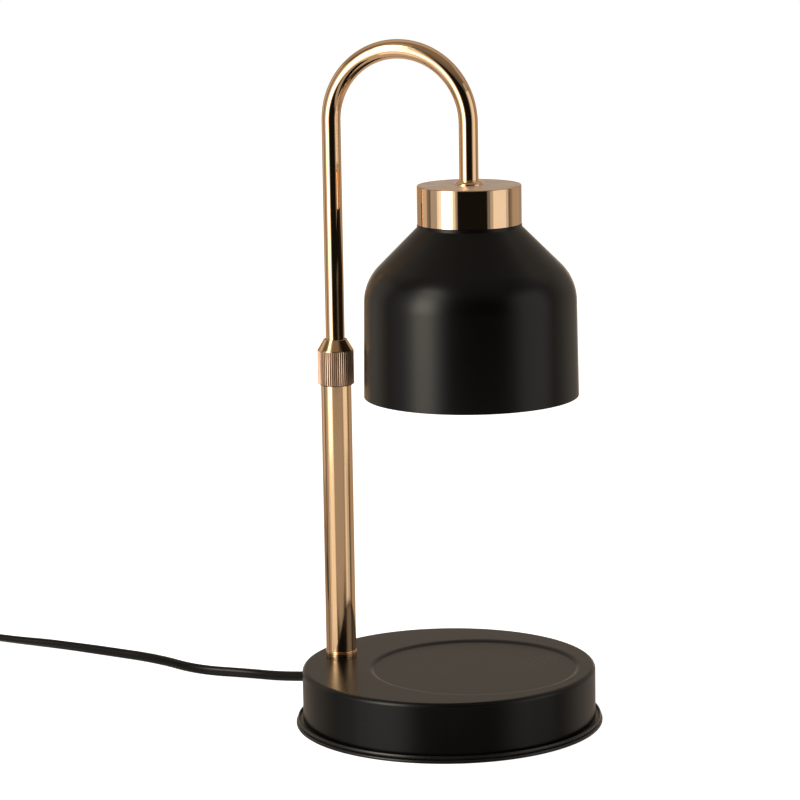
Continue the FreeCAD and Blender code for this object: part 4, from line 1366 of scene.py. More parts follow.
# ---- the mast --------------------------------------------------------------------------------------
@dataclass
class Mast:
    """The outer tube on its turned foot, the clamp nut and the leads inside; sizes in millimetres."""

    radius: float = 7.2
    bore: float = 6.2
    collar_radius: float = 7.4
    collar_foot: float = 27.5
    collar_top: float = 30.9
    plug_bore: float = 5.0
    plug_top: float = 42.0
    top: float = 161.0
    nut_radius: float = 8.55
    nut_foot: float = 160.0
    nut_shoulder: float = 176.6
    nut_top: float = 181.85
    nut_step: float = 162.6
    thread_radius: float = 6.68
    clearance: float = 0.15
    rib_height: float = 0.35
    rib_radius: float = 0.45
    ribs: int = 52
    lead_radius: float = 0.9
    lead_foot: float = 13.5
    arm_travel: float = 82.0

    def collar(self) -> bpy.types.Object:
        """The turned foot, with a fine groove under its upper edge and a plug inside the tube.

        Returns:
            The foot as one piece.
        """
        r, low, high = self.collar_radius, self.collar_foot, self.collar_top
        points = outline(
            (self.plug_bore, low),
            (r - 0.4, low),
            (r - 0.4, low + 0.3),
            Arc((r - 0.12, low + 0.42), (r, low + 0.7)),
            (r - 0.03, high - 1.05),
            (r - 0.3, high - 0.85),
            (r - 0.1, high - 0.7),
            Arc((r, high - 0.4), (r - 0.1, high - 0.1)),
            (r - 0.25, high),
            (self.bore, high),
            (self.bore, self.plug_top),
            (self.plug_bore, self.plug_top),
        )
        return lathe("mast_collar", points, Look.MAST, MAST_X)

    def tube(self) -> bpy.types.Object:
        """The outer tube, its ends slightly broken.

        Returns:
            The tube as one piece.
        """
        r, bore, low, high, c = self.radius, self.bore, self.collar_top, self.top, 0.12
        points = outline((bore, low), (r - c, low), (r, low + c), (r, high - c), (r - c, high), (bore, high))
        return lathe("mast_tube", points, Look.MAST, MAST_X)

    def grip(self) -> bpy.types.Object:
        """The nut's core: the valleys of its ribs, two chamfers and the stepped bore.

        Returns:
            The core as one piece.
        """
        r, loose = self.nut_radius - self.rib_height, self.radius + self.clearance
        foot, top, bore = self.nut_foot, self.nut_shoulder, self.thread_radius
        points = outline(
            (loose, foot),
            (r - 0.45, foot),
            (r, foot + 0.45),
            (r, top - 0.1),
            (r - 0.1, top),
            (bore, top),
            (bore, self.nut_step),
            (loose, self.nut_step),
        )
        return lathe("nut_grip_core", points, Look.KNURL, MAST_X)

    def rib_ring(self, around: Repeat) -> bpy.types.Object:
        """The rolled ribs of the grip, flat on their crests.

        Args:
            around: The tree of bars about an axis.

        Returns:
            The ribs as one piece.
        """
        low, high = self.nut_foot + 0.5, self.nut_shoulder - 0.15
        sides, bar = 8, self.rib_radius
        half_side = math.pi / sides
        return around.grow(
            "nut_grip_ribs", Look.KNURL, count=self.ribs, sides=sides,
            radius=(self.nut_radius - bar * math.cos(half_side)) * MM, start=0.0,
            step=math.tau / self.ribs, height=(low + high) / 2 * MM, centre_x=MAST_AXIS[0], centre_y=0.0,
            bar_radius=bar * MM, bar_length=(high - low) * MM, lean=0.0, twist=half_side,
        )

    def cone(self) -> bpy.types.Object:
        """The nut's polished cone with a small flat rim below it.

        Returns:
            The cone as one piece.
        """
        shoulder, top, r, bore = self.nut_shoulder, self.nut_top, self.nut_radius, self.thread_radius
        step_z, bore_top, tip = 177.45, 4.8, (5.62, 5.5, 5.3)
        points = outline(
            (bore, shoulder - 0.2),
            (r - 0.15, shoulder - 0.2),
            (r, shoulder - 0.05),
            (r - 0.02, shoulder + 0.15),
            (tip[0], top - 0.25),
            Arc((tip[1], top - 0.07), (tip[2], top)),
            (bore_top, top),
            (bore_top, step_z),
            (bore, step_z),
        )
        return lathe("nut_cone", points, Look.MAST, MAST_X)

    def leads(self) -> bpy.types.Object:
        """The two leads from the crimped joints up the mast.

        Returns:
            The two leads as one piece.
        """
        tubes = []
        across = Vector((0.0, 1.0, 0.0))

        def side_at(i: int, along: Vector) -> Vector:
            """Level direction across the lead."""
            return (across - along * across.dot(along)).normalized()

        for side, turn_after in ((-1, 5.0), (1, 1.5)):
            y = side * LEAD_OFFSET
            start = CORD_EXIT.joint_end(side)
            bend = start - CORD_EXIT.direction() * turn_after
            upright = [(MAST_X, y, z) for z in (self.lead_foot, 22.0, 60.0, ARM_FOOT - 0.6)]
            line = spline_line([tuple(start), tuple(bend), (-41.0, y, 14.5), *upright])
            rings = tube_rings(line, round_section(self.lead_radius, 12), side_at)
            tubes.append(skin(f"lead_{side}", rings, Look.SLEEVE, False))
        return joined("mast_leads", tubes)

    def build(self, around: Repeat) -> None:
        """Make and fit the mast's pieces.

        Args:
            around: The tree of bars about an axis.
        """
        fit(self.collar(), "base", "rose_gold", "pole_foot")
        fit(self.tube(), "base", "rose_gold", "lower_pole")
        fit(self.grip(), "clamp_nut", "knurled_brass", "clamp_nut")
        fit(self.rib_ring(around), "clamp_nut", "knurled_brass", "clamp_nut")
        fit(self.cone(), "clamp_nut", "rose_gold", "clamp_nut")
        leads = fit(self.leads(), "base", "lead_sleeve", "pole_leads")
        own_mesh(leads)


# ---- the arm, the cap and the shade ----------------------------------------------------------------
@dataclass
class Arm:
    """The bent tube, its collar, the cap and the bell; sizes in millimetres."""

    collar_radius: float = 6.6
    cap_radius: float = 24.35
    cap_edge: float = 0.6
    cap_wall: float = 1.0
    crown_radius: float = 24.4
    neck: float = 1.5
    shoulder_radius: float = 49.4
    shoulder_arc: float = 23.5
    rim_radius: float = 50.1
    rim_z: float = 157.9
    shade_wall: float = 1.0
    screw_hole: float = 1.7
    screw_reach: float = 17.5

    def pipe(self) -> bpy.types.Object:
        """The bent tube, as a skin from its rule with its wall added.

        Returns:
            The tube as one piece.
        """
        skin_only = Repeat(bent_pipe, BENT_PIPE).grow(
            "arm_skin", Look.ARM, steps=64, support=0.2 * MM, near_x=MAST_AXIS[0], far_x=HEAD_AXIS[0],
            foot_z=ARM_FOOT * MM, bend_z=BEND_Z * MM, end_z=ARM_END * MM, pipe_radius=ARM_R * MM,
        )
        wall = skin_only.modifiers.new("wall", "SOLIDIFY")
        wall.thickness = ARM_WALL * MM
        wall.offset = -1.0
        wall.use_even_offset = True
        pipe = baked("arm_pipe", skin_only)
        closed_up(pipe.data, smooth=35.0)
        return pipe

    def collar(self) -> bpy.types.Object:
        """The small domed collar where the tube enters the cap.

        Returns:
            The collar as one piece.
        """
        r, low = self.collar_radius, CAP_TOP
        dome = Arc((r - 0.5, low + 1.2), (r - 1.4, low + 1.7))
        points = outline((ARM_R, low), (r, low), (r, low + 0.4), dome, (ARM_R, low + 1.7))
        return lathe("arm_collar", points, Look.CAP, SHADE_X)

    def cap_side(self) -> bpy.types.Object:
        """The cup of the cap; its top face is blasted, the rest is bright.

        Returns:
            The cap as one piece.
        """
        r, e = self.cap_radius, self.cap_edge
        k = e * (1 - math.sqrt(0.5))
        inner, under, hole = r - self.cap_wall, CAP_TOP - self.cap_wall, ARM_R + 0.1
        points = outline(
            (hole, CAP_TOP),
            (r - e, CAP_TOP),
            Arc((r - k, CAP_TOP - k), (r, CAP_TOP - e)),
            (r, CAP_FOOT + 0.2),
            (r - 0.2, CAP_FOOT),
            (inner, CAP_FOOT),
            (inner, under),
            (hole, under),
        )
        cap = lathe("cap_cup", points, Look.CAP, SHADE_X, count=160)
        cap.data.materials.append(Look.CAP_FACE.material())
        for face in cap.data.polygons:
            if face.normal.z > 0.97 and face.center.z > (CAP_TOP - 0.1) * MM:
                face.material_index = 1
        return cap

    def bell_outline(self, inset: float) -> dict[str, Flat]:
        """Corners of the bell's outline at some depth inside its outer face.

        Args:
            inset: Depth inside the outer face, in millimetres.

        Returns:
            The corners by name, as radius and height.
        """
        root, half = math.sqrt(0.5), math.radians(22.5)
        high_r = self.shoulder_radius - self.shoulder_arc * (1 - root)
        high_z = CAP_FOOT - self.neck - (high_r - self.crown_radius)
        cx, cz = high_r - self.shoulder_arc * root, high_z - self.shoulder_arc * root
        r = self.shoulder_arc - inset
        return {
            "crown": (self.crown_radius - inset, CAP_FOOT - inset),
            "neck": (self.crown_radius - inset, CAP_FOOT - self.neck - math.tan(half) * inset),
            "high": (cx + r * root, cz + r * root),
            "middle": (cx + r * math.cos(half), cz + r * math.sin(half)),
            "low": (cx + r, cz),
            "rim": (self.rim_radius - inset, self.rim_z),
        }

    def bell(self) -> bpy.types.Object:
        """The spun shade with its hemmed rim.

        Returns:
            The shade as one piece.
        """
        out, in_ = self.bell_outline(0.0), self.bell_outline(self.shade_wall)
        hole, hem, hem_high, round_ = 14.2, 0.5, 2.2, 0.35
        rim_r, rim_z, hem_r = out["rim"][0], self.rim_z, in_["rim"][0] - hem
        points = outline(
            (hole, CAP_FOOT),
            out["crown"],
            out["neck"],
            out["high"],
            Arc(out["middle"], out["low"]),
            (rim_r, rim_z + round_),
            Arc((rim_r - 0.1, rim_z + 0.1), (rim_r - round_, rim_z)),
            (hem_r + round_, rim_z),
            Arc((hem_r + 0.1, rim_z + 0.1), (hem_r, rim_z + round_)),
            (hem_r, rim_z + hem_high),
            (in_["rim"][0], rim_z + hem_high + 0.4),
            in_["low"],
            Arc(in_["middle"], in_["high"]),
            in_["neck"],
            in_["crown"],
            (hole, CAP_FOOT - self.shade_wall),
            step=3.0,
        )
        bell = lathe("bell_shade", points, Look.ENAMEL, SHADE_X, count=192)
        low, high = CAP_FOOT - 3, CAP_FOOT + 1
        drills = [
            drill(Vector((SHADE_X, y, low)), Vector((SHADE_X, y, high)), self.screw_hole)
            for y in (-self.screw_reach, self.screw_reach)
        ]
        return drilled("bell_shade", bell, drills)

    def build(self) -> None:
        """Make and fit the arm's pieces."""
        fit(self.pipe(), "arm", "rose_gold", "arm_tube")
        fit(self.collar(), "arm", "rose_gold", "arm_ferrule")
        fit(self.cap_side(), "arm", "rose_gold", "socket_cap")
        fit(self.bell(), "arm", "black_enamel", "shade")


# ---- the bulb --------------------------------------------------------------------------------------
@dataclass
class Bulb:
    """The reflector lamp under the shade; sizes in millimetres."""

    facets: int = 36

    def bowl(self) -> bpy.types.Object:
        """The pressed bowl: smooth outside, faceted inside.

        Returns:
            The bowl as one piece.
        """
        inside = arc_points((23.4, 180.4), (18.6, 192.5), (8.6, 205.0), 9.0)
        outside = arc_points((10.0, 206.0), (20.2, 192.5), (24.6, 182.0), 9.0)
        points = [(7.0, 211.0), (10.0, 211.0), (10.0, 206.0), *outside]
        points += [(25.0, 180.4), (23.4, 180.4), *inside, (7.0, 206.0)]
        return lathe("bulb_bowl", points, Look.MIRROR, SHADE_X, count=self.facets, smooth=4.0)

    def front(self) -> bpy.types.Object:
        """The domed front glass with a rolled edge.

        Returns:
            The glass as one piece.
        """
        crown, corner = Arc((12.13, 177.65), (24.2, 179.0)), Arc((24.8, 179.3), (25.0, 180.0))
        points = outline((0.0, 177.2), crown, corner, (25.0, 180.4), (0.0, 180.4))
        return lathe("bulb_front_glass", points, Look.GLASS, SHADE_X, count=96)

    def build(self) -> None:
        """Make and fit the bulb's visible glass."""
        fit(self.bowl(), "bulb", "mirror_glass", "bulb_reflector")
        fit(self.front(), "bulb", "clear_glass", "bulb_lens")


# ---- the cord, its dimmer and its plug -------------------------------------------------------------
@dataclass
class Flex:
    """The flat mains cord: out of the base to the dimmer, then into a tied coil with its plug.

    Sizes are in millimetres. The control points run to the dimmer (run), on to the coil (tail) and out of
    it to the plug (last). A twist is a place along a stretch and the turn of the section there, in degrees.
    """

    half_wide: float = 2.5
    half_thick: float = 1.7
    coil_x: float = -312.0
    coil_y: float = -22.0
    turn_points: int = 16
    swell: float = 0.35
    settle_length: float = 0.03
    run: tuple[Place, ...] = (
        (-83.87, 30.53, 6.87),
        (-100.0, 36.2, 4.0),
        (-120.5, 42.0, 2.5),
        (-148.0, 40.6, 2.5),
        (-176.0, 54.5, 2.5),
        (-206.0, 60.6, 2.5),
        (-238.0, 66.6, 2.5),
        (-266.0, 69.4, 2.5),
        (-286.0, 71.8, 3.0),
        (-304.0, 72.0, 6.2),
    )
    tail: tuple[Place, ...] = (
        (-410.0, 72.0, 6.2),
        (-429.0, 72.0, 3.4),
        (-445.2, 60.2, 2.5),
        (-451.4, 41.2, 2.5),
        (-445.2, 22.2, 2.5),
        (-429.0, 10.4, 2.5),
        (-401.0, 9.0, 2.5),
        (-361.5, 12.0, 2.5),
        (-322.5, 10.5, 2.5),
    )
    last: tuple[Place, ...] = ((-322.0, -54.5, 9.6), (-340.0, -55.1, 7.6), (-357.0, -54.5, 6.85))
    run_twist: tuple[Flat, ...] = ((0, 80), (90, 80), (130, 72), (158, 58), (190, 36), (215, 6), (226, 0))
    tail_twist: tuple[Flat, ...] = (
        (0, 0), (60, 18), (150, 40), (400, 48), (800, 38), (1200, 50), (1540, 45),
    )

    def section(self) -> list[Flat]:
        """The cord's flat section: two round ends and flat sides.

        Returns:
            Points around the section, in millimetres from its centre.
        """
        r, reach, count = self.half_thick, self.half_wide - self.half_thick, 10
        points = []
        for centre, start in ((reach, -90.0), (-reach, 90.0)):
            for i in range(count + 1):
                a = math.radians(start + 180.0 * i / count)
                points.append((centre + r * math.cos(a), r * math.sin(a)))
        return points

    def coil_turns(self) -> list[Place]:
        """Control points of the coil's turns, clockwise from its far side, wound in and out in layers.

        Returns:
            The control points, in millimetres.
        """
        stations = [
            (32.5, 2.5), (27.5, 2.5), (22.5, 2.5), (22.8, 7.0), (27.6, 7.0), (32.5, 7.0),
            (27.8, 11.5), (32.3, 11.3),
        ]
        n, last, points = self.turn_points, len(stations) - 1, []
        for i in range(n * last + n // 2 + 1):
            lap, part = divmod(i / n, 1.0)
            here, there = stations[min(int(lap), last)], stations[min(int(lap) + 1, last)]
            ease = between(((0.7, 0.0), (1.0, 1.0)), part) if lap < last else 0.0
            uneven = self.swell * math.sin(1.7 * lap + math.tau * part)
            radius = here[0] + (there[0] - here[0]) * ease + uneven
            height = here[1] + (there[1] - here[1]) * ease
            angle = math.radians(90.0) - math.tau * part
            x, y = radius * math.cos(angle), radius * math.sin(angle)
            points.append((self.coil_x + x, self.coil_y + y, height))
        return points

    def tube(
        self, name: str, places: Sequence[Place], twists: Sequence[Flat]
    ) -> tuple[bpy.types.Object, list[Vector]]:
        """A stretch of cord along its spline, twisted and resting at the height of its turned section.

        Args:
            name: The piece's name.
            places: Control points of the spline, in millimetres.
            twists: Places along the line and the turn of the section there, in degrees.

        Returns:
            The piece and the points of its centreline.
        """
        line = spline_line(places)
        run = lengths(line)
        turned = [math.radians(between(twists, d / MM)) for d in run]
        line = [self.settled(p, t, d, run[-1]) for p, t, d in zip(line, turned, run)]

        def side_at(i: int, along: Vector) -> Vector:
            """Level direction across the cord, tipped by the twist there."""
            level = along.cross(UP).normalized()
            return Matrix.Rotation(turned[i], 3, along) @ level

        rings = tube_rings(line, self.section(), side_at)
        return skin(name, rings, Look.CORD, loop=False, smooth=50.0, uv=True), line

    def settled(self, point: Vector, twist: float, along: float, total: float) -> Vector:
        """A point of the line, let down to where the turned flat section rests, but for both ends.

        Args:
            point: The point before it is let down.
            twist: Turn of the section there, in radians.
            along: Distance from the start.
            total: Length of the line.

        Returns:
            The point at its height.
        """
        half = self.half_thick + (self.half_wide - self.half_thick) * abs(math.sin(twist))
        free = between(((0.0, 0.0), (self.settle_length, 1.0)), min(along, total - along))
        return point - UP * ((CORD_R - half) * MM * free)

    def tie(self, angle: float) -> bpy.types.Object:
        """A flat strap around all the turns at one place of the coil.

        Args:
            angle: Place on the coil, in radians.

        Returns:
            The strap as one piece.
        """
        inner, outer, low, high, corner, steps = 19.6, 35.3, 0.55, 14.3, 2.6, 6
        out = Vector((math.cos(angle), math.sin(angle), 0.0))
        across = Vector((-math.sin(angle), math.cos(angle), 0.0))
        centre = Vector((self.coil_x, self.coil_y, 0.0))
        loop = []
        quarters = ((outer - corner, low + corner, -90), (outer - corner, high - corner, 0))
        quarters += ((inner + corner, high - corner, 90), (inner + corner, low + corner, 180))
        for r, z, start in quarters:
            for i in range(steps + 1):
                a = math.radians(start + 90.0 / steps * i)
                reach = r + corner * math.cos(a)
                loop.append((centre + out * reach + UP * (z + corner * math.sin(a))) * MM)
        half_wide, half_thick, soft = 4.0, 0.5, 0.3
        w, h = half_wide - soft, half_thick - soft
        strap = [(w, half_thick), (-w, half_thick), (-half_wide, h), (-half_wide, -h)]
        strap += [(-a, -b) for a, b in strap]
        return skin("coil_tie", tube_rings(loop, strap, lambda i, t: across, True), Look.FOAM, smooth=40.0)

    def build(self, on_run: Sequence[bpy.types.Object], on_store: Sequence[bpy.types.Object]) -> None:
        """Make and fit both stretches of the cord.

        Args:
            on_run: The pieces on the stretch from the base to the dimmer.
            on_store: The pieces on the stretch from the dimmer to the plug.
        """
        near, near_line = self.tube("flex_to_dimmer", self.run, self.run_twist)
        far_places = (*self.tail, *self.coil_turns(), *self.last)
        far, far_line = self.tube("flex_to_plug", far_places, self.tail_twist)
        tie = fit(self.tie(math.radians(20.0)), "base", "black_foam")
        fit(near, "base", "cord_black", "cord_run")
        fit(far, "base", "cord_black", "cord_tail", "cord_coil", "cord_end")
        for piece, line, end, with_pieces in (
            (near, near_line, "fitting", on_run),
            (far, far_line, "plug", [*on_store, tie]),
        ):
            tuple(line[0])
            lengths(line)[-1]
            "loose" if end == "fitting" else "coiled"
            list(with_pieces)
            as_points(line)


@dataclass
class Dimmer:
    """What is added to the inline dimmer: ribs on its wheel, its dial and bands; sizes in millimetres."""

    x: float = -357.0
    y: float = 72.0
    top: float = 20.0
    cord_z: float = 6.2
    half_long: float = 33.0
    wheel_radius: float = 11.0
    travel: float = 270.0
    numbers: int = 5

    def wheel_ribs(self, around: Repeat) -> bpy.types.Object:
        """Grip ribs around the wheel.

        Args:
            around: The tree of bars about an axis.

        Returns:
            The ribs as one piece.
        """
        count = 44
        return around.grow(
            "dimmer_wheel_ribs", Look.PLASTIC, count=count, sides=8,
            radius=self.wheel_radius * MM, start=0.0,
            step=math.tau / count, height=22.7 * MM, centre_x=self.x * MM, centre_y=self.y * MM,
            bar_radius=0.42 * MM, bar_length=3.6 * MM, lean=0.0, twist=0.0,
        )

    def dial_ticks(self, around: Repeat) -> bpy.types.Object:
        """Raised ticks of the dial over the wheel's travel.

        Args:
            around: The tree of bars about an axis.

        Returns:
            The ticks as one piece.
        """
        count, travel = 19, math.radians(self.travel)
        return around.grow(
            "dimmer_dial_ticks", Look.PRINT, count=count, sides=8, radius=12.6 * MM, start=-travel,
            step=travel / (count - 1), height=self.top * MM, centre_x=self.x * MM, centre_y=self.y * MM,
            bar_radius=0.16 * MM, bar_length=1.3 * MM, lean=math.pi / 2, twist=0.0,
        )

    def dial_numbers(self) -> bpy.types.Object:
        """Raised numbers from 0 on, beside the ticks.

        Returns:
            The numbers as one piece.
        """
        letters, reach = [], 14.4 * MM
        for i in range(self.numbers):
            text = bpy.data.curves.new(f"dial_{i}", "FONT")
            text.body = str(i)
            text.size = 2.6 * MM
            text.extrude = 0.12 * MM
            text.align_x = "CENTER"
            text.align_y = "CENTER"
            holder = add_piece(text.name, text)
            mesh = bpy.data.meshes.new_from_object(holder)
            bpy.data.objects.remove(holder)
            angle = -math.radians(self.travel) * i / (self.numbers - 1)
            place = Vector((math.cos(angle) * reach, math.sin(angle) * reach, 0.0))
            mesh.transform(Matrix.Translation(Vector((self.x, self.y, self.top)) * MM + place))
            mesh.materials.clear()
            mesh.materials.append(Look.PRINT.material())
            letters.append(add_piece(f"dial_{i}_mesh", mesh))
        numbers = joined("dimmer_dial_numbers", letters)
        closed_up(numbers.data)
        return numbers

    def boot_bands(self, bands: Repeat) -> list[bpy.types.Object]:
        """Bands around both strain reliefs of the dimmer.

        Args:
            bands: The tree of bands along an axis.

        Returns:
            One piece for each strain relief.
        """
        made = []
        for name, side in (("dimmer_bands_in", 1), ("dimmer_bands_out", -1)):
            start = Vector((self.x + side * (self.half_long + 2.5), self.y, self.cord_z)) * MM
            made.append(
                bands.grow(
                    name, Look.PLASTIC, count=6, pitch=2.6 * MM, first_radius=4.0 * MM, taper=0.034,
                    thickness=0.45 * MM, place=start, turn=Vector((0.0, side * math.pi / 2, 0.0)),
                )
            )
        return made

    def build(self, around: Repeat, bands: Repeat) -> list[bpy.types.Object]:
        """Make and fit the dimmer's added pieces.

        Args:
            around: The tree of bars about an axis.
            bands: The tree of bands along an axis.

        Returns:
            The pieces that belong on the cord; the last one is on the stretch to the plug.
        """
        ribs = fit(self.wheel_ribs(around), "dimmer_wheel", "grey_plastic")
        still = [self.dial_ticks(around), self.dial_numbers(), *self.boot_bands(bands)]
        return [ribs, *(fit(piece, "base", "black_plastic") for piece in still)]


@dataclass
class Plug:
    """What is added to the plug: grip bars on its face and bands on its tail; sizes in millimetres."""

    x: float = -379.0
    y: float = -54.5
    z: float = 6.85
    half_high: float = 6.85
    half_long: float = 19.0

    def build(self, bands: Repeat) -> list[bpy.types.Object]:
        """Make and fit the plug's grips and bands.

        Args:
            bands: The tree of bands along an axis.

        Returns:
            The pieces that belong on the cord.
        """
        start = Vector((self.x - self.half_long, self.y, self.z + self.half_high - 0.18)) * MM
        grips = Repeat(bars_in_row, BARS_IN_ROW).grow(
            "plug_grips", Look.PLASTIC, count=5, place=start, row_step=Vector((-2.6, 0.0, 0.0)) * MM,
            bar_radius=0.5 * MM, bar_length=17.0 * MM, turn=Vector((math.pi / 2, 0.0, 0.0)),
        )
        start = Vector((self.x + self.half_long, self.y, self.z)) * MM
        rings = bands.grow(
            "plug_bands", Look.PLASTIC, count=6, pitch=2.8 * MM, first_radius=3.35 * MM, taper=-0.074,
            thickness=0.45 * MM, place=start, turn=Vector((0.0, -math.pi / 2, 0.0)),
        )
        return [fit(piece, "base", "black_plastic") for piece in (grips, rings)]


# ---- the room --------------------------------------------------------------------------------------
class Tint(Enum):
    """Colours of the lights and the cards."""

    SOFT = (1.0, 0.96, 0.91)
    KEY = (1.0, 0.93, 0.78)
    FLANK = (1.0, 0.98, 0.95)
    RIGHT = (1.0, 0.97, 0.94)
    TABLE = (1.0, 0.93, 0.86)


@dataclass(frozen=True)
class Panel:
    """An upright panel around the lamp. The bearing is 0 towards the camera and grows to its right.

    Bearings are in degrees, heights and the distance in metres. A card is seen by reflections alone, and
    its slant is how much lower its foot is on the left than on the right.
    """

    name: str
    left: float
    right: float
    low: float
    high: float
    glow: float
    tint: Tint = Tint.SOFT
    slant: float = 0.0
    distance: float = 1.2

    @property
    def width(self) -> float:
        """Its width in metres."""
        return 2.0 * self.distance * math.tan(math.radians(self.right - self.left) / 2)


@dataclass
class Studio:
    """Pale floor, soft lights, what polished metal reflects, and the camera."""

    heading: float = 20.041
    pitch: float = 10.481
    roll: float = 0.917
    camera_place: Place = (0.488327, -1.400396, 0.429676)
    picture_pixels: float = 800.0
    focal_pixels: float = 3225.284
    sensor: float = 36.0
    side_azimuth: float = 19.224
    middle: Flat = (-0.01, 0.0)
    floor_size: float = 3.0
    floor_glow: float = 0.93
    floor_tones: tuple[Colour, Colour] = ((0.86, 0.86, 0.85), (0.9, 0.9, 0.89))
    dim: float = 0.12
    dim_tint: Colour = (1.0, 0.93, 0.85)
    glow_tint: Colour = (1.0, 0.79, 0.58)
    back_glow: float = 0.25
    table_back: float = 1.3
    top_glow: float = 0.12
    high_back: Colour = (0.58, 0.52, 0.46)
    under: Colour = (0.54, 0.48, 0.43)
    high_rise: Flat = (0.45, 0.95)
    back_rise: Flat = (0.02, 0.4)
    under_fall: Flat = (-0.35, -0.62)
    table_rise: Flat = (0.92, 0.985)
    table_fall: Flat = (-0.02, 0.12)
    lights: tuple[Panel, ...] = (
        Panel("key", -62.0, -40.0, -0.10, 1.5, 3.9, Tint.KEY),
        Panel("key_bright", -61.0, -40.0, 0.15, 0.72, 2.4, Tint.KEY),
        Panel("key_left_flank", -68.0, -62.0, -0.10, 1.45, 1.15),
        Panel("key_right_flank", -40.0, -35.5, -0.10, 1.45, 2.2, Tint.FLANK),
        Panel("key_low", -66.0, -35.5, -0.27, -0.10, 0.95),
        Panel("key_on_table", -66.0, -35.5, -1.05, -0.27, 0.6),
        Panel("key_soft_edge", -35.5, -29.5, -0.35, 1.4, 0.85),
        Panel("key_faint_edge", -29.5, -25.0, -0.5, 1.2, 0.25),
        Panel("key_above", -80.0, -32.0, 1.5, 3.2, 0.16),
        Panel("key_spill", -74.0, -68.0, -0.5, 1.2, 0.9),
        Panel("left", -93.0, -74.0, -0.13, 0.9, 0.33),
        Panel("left_low", -93.0, -74.0, -0.5, -0.13, 0.27),
        Panel("left_back", -130.0, -106.0, -0.13, 0.9, 0.27),
        Panel("right_faint_edge", 39.0, 46.0, -0.6, 0.85, 0.1),
        Panel("right_soft_edge", 46.0, 53.0, -0.6, 0.85, 0.4),
        Panel("right", 53.0, 86.0, -0.13, 0.88, 0.87, Tint.RIGHT),
        Panel("right_low", 53.0, 66.0, -0.35, -0.13, 0.8, Tint.RIGHT),
        Panel("right_low_far", 66.0, 86.0, -0.35, -0.13, 0.5, Tint.RIGHT),
        Panel("right_top", 53.0, 80.0, 0.88, 1.12, 0.36, Tint.RIGHT),
        Panel("right_spill", 86.0, 93.0, -0.13, 0.88, 0.5),
        Panel("right_high", 78.0, 118.0, 0.88, 1.7, 0.18),
        Panel("right_back", 106.0, 138.0, -0.6, 0.75, 0.08),
    )
    cards: tuple[Panel, ...] = (
        Panel("front_card", -25.0, 40.0, -1.2, 0.85, 0.008, distance=1.1),
        Panel("table_glow", -30.0, 42.0, -0.108, 0.055, 0.42, Tint.TABLE, 0.014, 0.6),
    )

    def toward(self, bearing: float) -> Vector:
        """Level unit direction from the lamp at a bearing in degrees."""
        turn = math.radians(self.side_azimuth + bearing)
        return Vector((math.sin(turn), -math.cos(turn), 0.0))

    def camera(self) -> None:
        """The camera, and the scene's plain colour handling."""
        data = bpy.data.cameras.new("camera")
        data.sensor_width = self.sensor
        data.lens = self.focal_pixels * self.sensor / self.picture_pixels
        data.clip_start = 0.01
        camera = bpy.data.objects.new("camera", data)
        turn = Matrix.Rotation(math.radians(self.heading), 4, "Z")
        tip = Matrix.Rotation(math.radians(90.0 - self.pitch), 4, "X")
        roll = Matrix.Rotation(math.radians(-self.roll), 4, "Z")
        camera.matrix_world = Matrix.Translation(self.camera_place) @ turn @ tip @ roll
        bpy.context.scene.collection.objects.link(camera)
        bpy.context.scene.camera = camera
        bpy.context.scene.view_settings.view_transform = "Standard"

    def placed(self, panel: Panel) -> Matrix:
        """Where a panel stands, its face to the lamp.

        Args:
            panel: The panel.

        Returns:
            Its place and turn in the scene.
        """
        way = self.toward((panel.left + panel.right) / 2)
        height = (panel.low + panel.high) / 2
        place = Vector((*self.middle, height)) + way * panel.distance
        return Matrix.Translation(place) @ way.to_track_quat("Z", "Y").to_matrix().to_4x4()

    def light(self, panel: Panel) -> None:
        """One soft light that the camera doesn't see.

        Args:
            panel: Where the light is and how strong.
        """
        data = bpy.data.lights.new(panel.name, "AREA")
        data.shape = "RECTANGLE"
        data.size, data.size_y = panel.width, panel.high - panel.low
        data.energy = panel.glow * math.pi * data.size * data.size_y
        data.color = panel.tint.value
        light = bpy.data.objects.new(panel.name, data)
        light.matrix_world = self.placed(panel)
        light.visible_camera = False
        bpy.context.scene.collection.objects.link(light)

    def sheet(self, name: str, material: bpy.types.Material, corners: Sequence[Place]) -> bpy.types.Object:
        """Put a flat sheet of one face in the scene.

        Args:
            name: The sheet's name.
            material: Its material.
            corners: Its four corners, in metres.

        Returns:
            The sheet.
        """
        mesh = bpy.data.meshes.new(name)
        mesh.from_pydata(corners, [], [(0, 1, 2, 3)])
        mesh.materials.append(material)
        sheet = add_piece(name, mesh)
        return sheet

    def card(self, panel: Panel) -> None:
        """An upright card that reflections alone see.

        Args:
            panel: Where the card is and how strong.
        """
        material, g = started(panel.name)
        sockets = {"Color": (*panel.tint.value, 1.0), "Strength": panel.glow}
        g.node("ShaderNodeOutputMaterial", None, {0: g.node("ShaderNodeEmission", None, sockets)})
        material.cycles.emission_sampling = "NONE"
        x, y = panel.width / 2, (panel.high - panel.low) / 2
        corners = [(-x, -y - panel.slant, 0), (x, -y, 0), (x, y, 0), (-x, y, 0)]
        card = self.sheet(panel.name, material, corners)
        card.data.transform(self.placed(panel))
        card.visible_camera = card.visible_shadow = False
        card.visible_diffuse = card.visible_transmission = False

